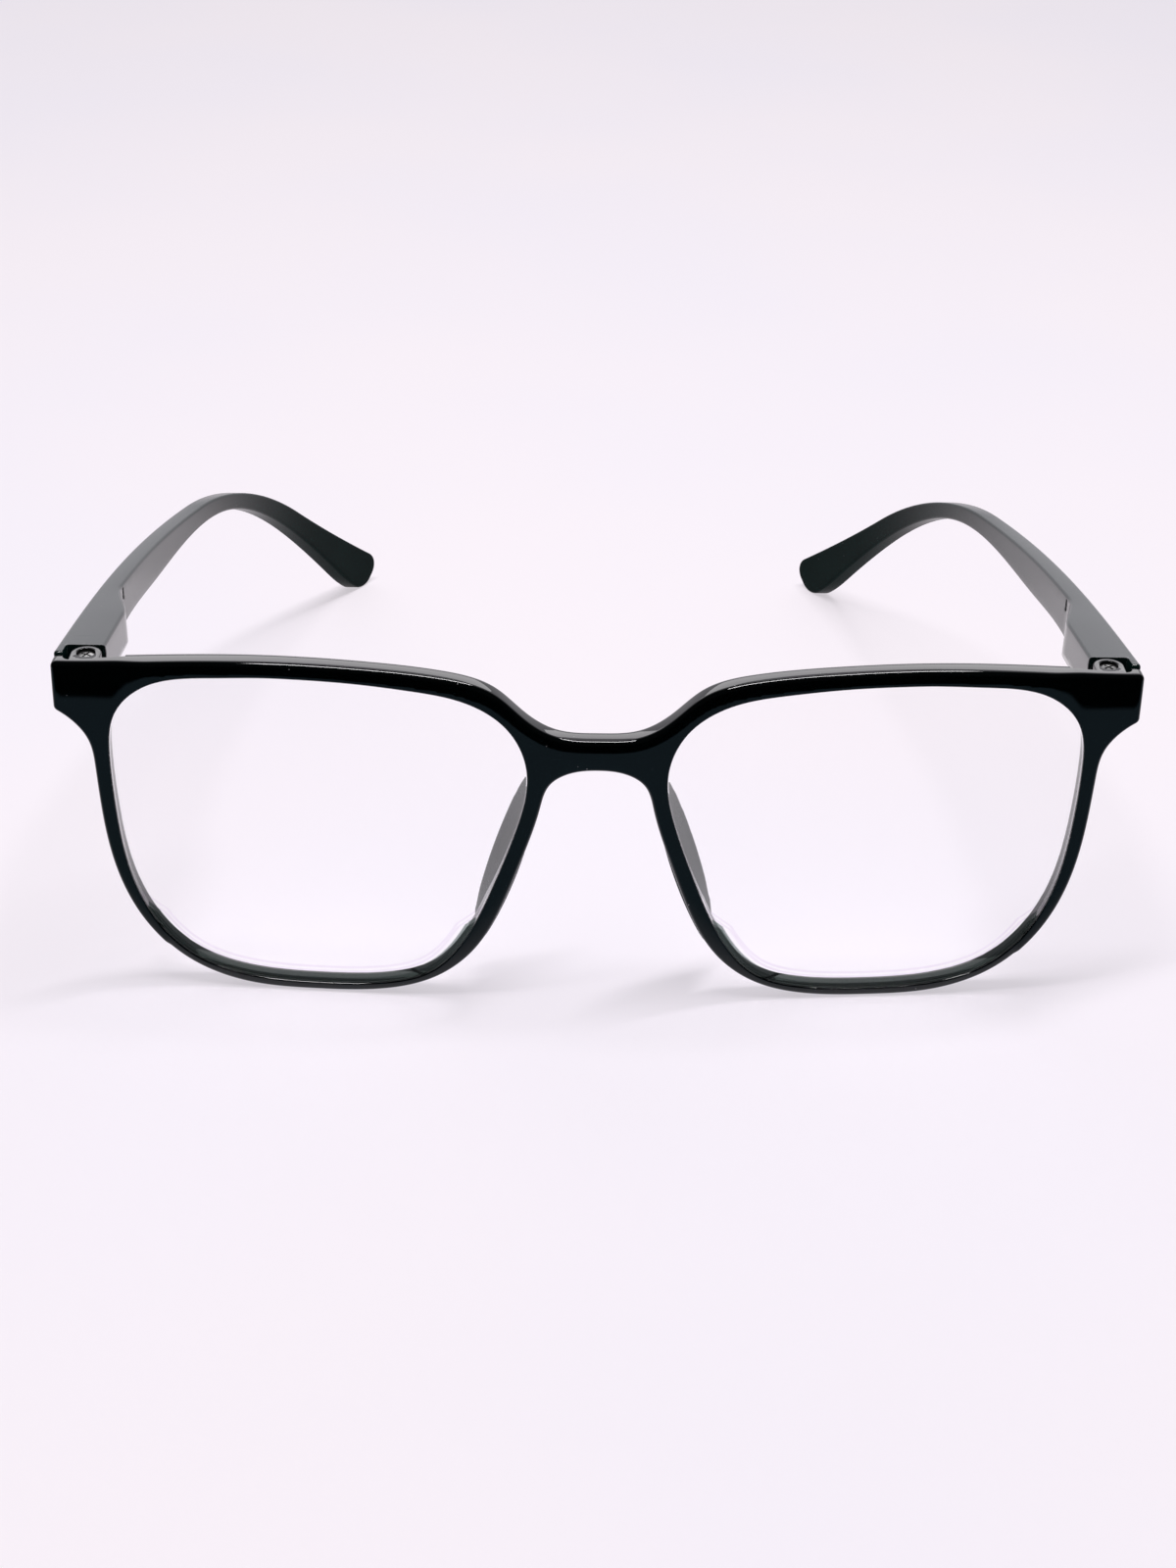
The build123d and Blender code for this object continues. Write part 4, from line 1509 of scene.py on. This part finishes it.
    def slot_cutter(self) -> bpy.types.Mesh:
        """The small slot in the inner face, behind the neck."""
        at = self.layout
        run = (self.slot_place - at.head_front) / math.cos(self.fall)
        y, z = self.top_edge(run, self.slot_below_top + self.slot_height / 2)
        floor = float(self.inner_x(np.array(self.slot_place))) + self.slot_depth
        cos, sin = math.cos(self.fall), math.sin(self.fall)
        ring = [(a * self.slot_width / 2, b * self.slot_height / 2) for a, b in BOX]
        near, far = (
            [(x, at.front_y + y + a * cos + b * sin, z - a * sin + b * cos) for a, b in ring]
            for x in (floor, floor - self.slot_depth - OVERRUN)
        )
        return prism("slot_cutter", near, far)

    def tongue(self) -> bpy.types.Mesh:
        """The middle knuckle of the hinge, which stands in the pocket."""
        at = self.layout
        rear = at.pin_y + at.knuckle_radius + self.pocket_gap
        slab = Slab(at.upright(at.tongue_low, at.tongue_low + at.tongue_thickness), 0.6)
        slab.wall(at.knuckle(rear + self.tongue_sink), Edge(0.10, 0.10, 0.10, 0.10, 3))
        slab.wall(at.round_hole(at.shank_hole / 2), Edge(0.05, 0.05, 0.05, 0.05, 2))
        return slab.mesh("tongue")

    def build(self, finish: bpy.types.Material) -> None:
        """Builds and dresses both temples."""
        right = place(self.build_arm(), "temple_right_arm")
        carved(right, [self.pocket_cutter(), self.draft_cutter(), self.slot_cutter()], self.soften)
        united(right, [self.tongue()])
        left = place(mirrored(right.data, "temple_left_arm"), "temple_left_arm")
        for side, arm in ((Side.LEFT, left), (Side.RIGHT, right)):
            dress(arm, finish)
            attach(arm, f"{side.word}_temple")
            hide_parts(f"temple_{side.word}")
            self.pieces.append(arm)


# ---- The hinge fittings -------------------------------------------------------------------


@dataclass
class HingeFittings:
    """The screws that are the hinge pins, and the brass bushes that they thread into."""

    layout: Layout
    head_diameter: float = 2.2
    head_height: float = 0.6
    head_crown: float = 0.10
    recess_depth: float = 0.85
    shank_diameter: float = 1.4
    thread_pitch: float = 0.35
    thread_depth: float = 0.10
    cross_length: float = 1.5
    cross_width: float = 0.28
    cross_depth: float = 0.3
    end_margin: float = 0.15
    bush_diameter: float = 2.4
    bush_length: float = 1.6
    bush_flange: float = 0.12
    tip_shares: Pair = (0.55, 0.85)
    tip_rise: float = 0.08
    thread_start: float = 0.12
    head_chamfer: float = 0.06
    crown_steps: int = 6
    crown_share: float = 0.94
    cross_soften: float = 0.02
    bush_chamfer: float = 0.10
    groove_heights: tuple[float, ...] = (0.65, 0.72, 0.92, 1.0)
    groove_depth: float = 0.10
    bore_chamfer: Pair = (0.04, 0.05)
    screw_turn: float = 1.5
    seed: int = 7
    sides: int = 48
    pieces: list[bpy.types.Object] = field(default_factory=list)

    def spun(self, name: str, profile: Sequence[Pair], closed: bool) -> bpy.types.Mesh:
        """A turned solid about the pin axis.

        Args:
            name: The mesh's name.
            profile: Radius and height of each point, in order.
            closed: Whether the profile is a ring, and not a line from axis to axis.

        Returns:
            The solid, standing on the origin's axis.
        """
        count, rows = self.sides, len(profile)
        angles = [2 * math.pi * k / count for k in range(count)]
        points = [
            (radius * math.cos(angle), radius * math.sin(angle), height)
            for radius, height in profile
            for angle in angles
        ]
        faces: list[tuple[int, ...]] = []
        for row in range(rows if closed else rows - 1):
            faces += bridge(row * count, (row + 1) % rows * count, count)
        if not closed:
            faces += [tuple(range(count)), tuple(range((rows - 1) * count, rows * count))]
        return solid_mesh(name, np.array(points), faces)

    def screw(self) -> bpy.types.Mesh:
        """One screw: a crowned head with a cross recess on a shank with a rolled thread."""
        at = self.layout
        low = at.lower_lug_low + self.end_margin
        seat = at.lug_top - self.recess_depth
        head, shank = self.head_diameter / 2, self.shank_diameter / 2
        thread_top = at.lower_lug_low + self.bush_length
        turns = int((thread_top - low) / self.thread_pitch)
        tip, neck = (shank * share for share in self.tip_shares)
        profile: list[Pair] = [(tip, low), (neck, low + self.tip_rise)]
        for turn in range(turns):
            start = low + self.thread_start + turn * self.thread_pitch
            profile += [(shank - self.thread_depth, start), (shank, start + self.thread_pitch / 2)]
        chamfer = self.head_chamfer
        profile += [(shank, seat), (head - chamfer, seat), (head, seat + chamfer)]
        crown = seat + self.head_height
        for share in (k / self.crown_steps for k in range(self.crown_steps + 1)):
            height = crown - self.head_crown * (1 - share) ** 2
            profile.append((head * (1 - share * self.crown_share), height))
        body = place(self.spun("screw", profile, False), "screw_body")
        cutters = []
        for length, width in ((self.cross_length, self.cross_width), (self.cross_width, self.cross_length)):
            low_ring, high_ring = (
                [(a * length / 2, b * width / 2, z) for a, b in BOX]
                for z in (crown - self.cross_depth, crown + OVERRUN)
            )
            cutters.append(prism("cross_cutter", low_ring, high_ring))
        carved(body, cutters, self.cross_soften)
        mesh = body.data
        bpy.data.objects.remove(body)
        return mesh

    def bush(self) -> bpy.types.Mesh:
        """One thread bush: a ring with chamfered ends and a groove round its middle."""
        low = self.layout.lower_lug_low
        outer, bore = self.bush_diameter / 2, self.layout.shank_hole / 2
        top = low + self.bush_length
        waist, chamfer = outer - self.groove_depth, self.bush_chamfer
        one, two, three, four = (low + height for height in self.groove_heights)
        wide, deep = self.bore_chamfer
        profile = [
            (bore + chamfer, low), (outer - self.bush_flange, low), (outer, low + self.bush_flange),
            (outer, one), (waist, two), (waist, three), (outer, four),
            (outer, top - chamfer), (outer - chamfer, top),
            (bore + wide, top), (bore, top - deep), (bore, low + chamfer),
        ]
        mesh = self.spun("bush", profile, True)
        mesh.set_sharp_from_angle(angle=math.radians(30))
        return mesh

    def fit(
        self, tool: NodeTool, mesh: bpy.types.Mesh, name: str, turn: float, finish: bpy.types.Material
    ) -> bpy.types.Object:
        """Sets one kind of fitting in both hinges."""
        at = self.layout
        fitting = place(mesh, name)
        tool.use(
            fitting,
            {
                "Count": len(Side),
                "First place": (-at.pin_x * MM, (at.front_y + at.pin_y) * MM, 0.0),
                "Spacing": (2 * at.pin_x * MM, 0.0, 0.0),
                "Turn": turn,
                "Seed": self.seed,
                "Finish": finish,
            },
        )
        return fitting

    def build(self, tool: NodeTool, steel: bpy.types.Material, brass: bpy.types.Material) -> None:
        """Builds and dresses the screws and bushes."""
        plans = (
            (self.screw(), "hinge_screws", self.screw_turn, steel, "screw_steel", "hinge_screw"),
            (self.bush(), "thread_bushes", 0.0, brass, "bush_brass", "thread_bush"),
        )
        for mesh, name, turn, finish, slot, node in plans:
            fitting = self.fit(tool, mesh, name, turn, finish)
            dress(fitting, finish)
            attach(fitting, "front")
            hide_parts(*[f"{node}_{side.word}" for side in Side])
            self.pieces.append(fitting)


# ---- The studio ---------------------------------------------------------------------------


@dataclass(frozen=True)
class Softbox:
    """A soft lamp: its place, its two sides in metres, its watts and its tint."""

    name: str
    spot: Triple
    width: float
    depth: float
    power: float
    tint: Colour = (1.0, 0.98, 1.0)

    def hang(self, target: Triple) -> None:
        """Hangs the lamp so that it faces a place, in metres."""
        light = bpy.data.lights.new(self.name, "AREA")
        light.shape, light.size, light.size_y = "RECTANGLE", self.width, self.depth
        light.energy, light.color = self.power, self.tint
        lamp = bpy.data.objects.new(self.name, light)
        bpy.context.scene.collection.objects.link(lamp)
        lamp.location = self.spot
        lamp.rotation_euler = (Vector(target) - Vector(self.spot)).to_track_quat("-Z", "Y").to_euler()


BACK_SOFTBOX = Softbox("back_softbox", (-0.12, 1.05, 0.60), 1.5, 0.26, 2.6)
TOP_SOFTBOX = Softbox("top_softbox", (0.02, -0.03, 0.75), 0.60, 0.05, 5.2)


@dataclass
class Studio:
    """The paper floor, the soft lamps, the pale surroundings and the camera."""

    floor_size: float = 3.0
    lamp_target: Triple = (0.0, 0.0, 0.03)
    camera_place: Triple = (-5.55, -328.43, 184.29)
    camera_clip: Pair = (0.01, 20)
    camera_yaw: float = -0.948
    camera_pitch: float = 29.953
    camera_roll: float = -1.14
    focal_share: float = 2400 / 1600
    sensor: float = 36.0
    surround: Colour = (0.93, 0.91, 0.97)
    seen: Colour = (0.915, 0.865, 0.920)
    dusk: Pair = (0.1, 0.75)
    dusk_strength: Pair = (0.02, 0.90)

    def build_floor(self, finish: bpy.types.Material) -> None:
        """Lays the paper."""
        half = self.floor_size / 2
        mesh = bpy.data.meshes.new("paper_floor")
        mesh.from_pydata([(a * half, b * half, 0) for a, b in BOX], [], [(0, 1, 2, 3)])
        floor = place(mesh, "paper_floor")
        dress(floor, finish)

    def build_world(self) -> None:
        """Surrounds the scene with pale, even light."""
        world = bpy.data.worlds.new("studio")
        bpy.context.scene.world = world
        world.use_nodes = True
        tree = NodeTree(world.node_tree)
        aim = tree.wire("ShaderNodeTexCoord", {}, {}, "Generated")
        ahead = tree.wire("ShaderNodeSeparateXYZ", {}, {0: aim}, "Y")
        strength = ahead.between(*self.dusk, *self.dusk_strength)
        lit, seen = (
            tree.wire("ShaderNodeBackground", {}, {"Color": (*colour, 1), "Strength": level})
            for colour, level in ((self.surround, strength), (self.seen, 1.0))
        )
        camera, passed = tree.rays("Camera", "Transmission")
        tree.node("ShaderNodeOutputWorld", {}, {"Surface": tree.mix(camera.larger(passed), lit, seen)})

    def build_camera(self) -> None:
        """Sets the camera where the photograph was taken from."""
        yaw, pitch, roll = (
            math.radians(angle) for angle in (self.camera_yaw, self.camera_pitch, self.camera_roll)
        )
        ahead = Vector(
            (-math.sin(yaw) * math.cos(pitch), math.cos(yaw) * math.cos(pitch), -math.sin(pitch))
        )
        level = Vector((math.cos(yaw), math.sin(yaw), 0))
        down = ahead.cross(level)
        right = level * math.cos(roll) + down * math.sin(roll)
        low = down * math.cos(roll) - level * math.sin(roll)
        data = bpy.data.cameras.new("studio_camera")
        data.sensor_width, data.lens = self.sensor, self.sensor * self.focal_share
        data.clip_start, data.clip_end = self.camera_clip
        camera = bpy.data.objects.new("studio_camera", data)
        bpy.context.scene.collection.objects.link(camera)
        turn = Matrix((right, -low, -ahead)).transposed().to_4x4()
        camera.matrix_world = Matrix.Translation(Vector(self.camera_place) * MM) @ turn
        bpy.context.scene.camera = camera

    def build(self, paper: bpy.types.Material) -> None:
        """Builds the whole studio."""
        self.build_floor(paper)
        self.build_world()
        for softbox in (BACK_SOFTBOX, TOP_SOFTBOX):
            softbox.hang(self.lamp_target)
        self.build_camera()
        bpy.context.scene.view_settings.view_transform = "Standard"


# ---- The whole ----------------------------------------------------------------------------


def report(pieces: Sequence[bpy.types.Object]) -> None:
    """Logs each piece with the number of its faces."""
    for piece in pieces:
        LOG.info("%s: %d faces", piece.name, len(piece.data.polygons))


def main() -> None:
    """Builds the glasses and their studio in order."""
    logging.basicConfig(level=logging.INFO, format="%(name)s %(message)s")
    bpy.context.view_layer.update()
    layout = Layout()
    bow, fit = bow_tool(), hinge_tool()
    front, lenses, temples, fittings = (part(layout) for part in (Front, Lenses, Temples, HingeFittings))
    front.build(bow, FRONT_GLOSS.make(), PAD_SATIN.make())
    lenses.build(bow, LENS_CLEAR.make())
    temples.build(TEMPLE_SATIN.make())
    fittings.build(fit, SCREW_STEEL.make(), BUSH_BRASS.make())
    for part in (front, lenses, temples, fittings):
        report(part.pieces)
    Studio().build(PAPER.make())


if __name__ == "__main__":
    main()
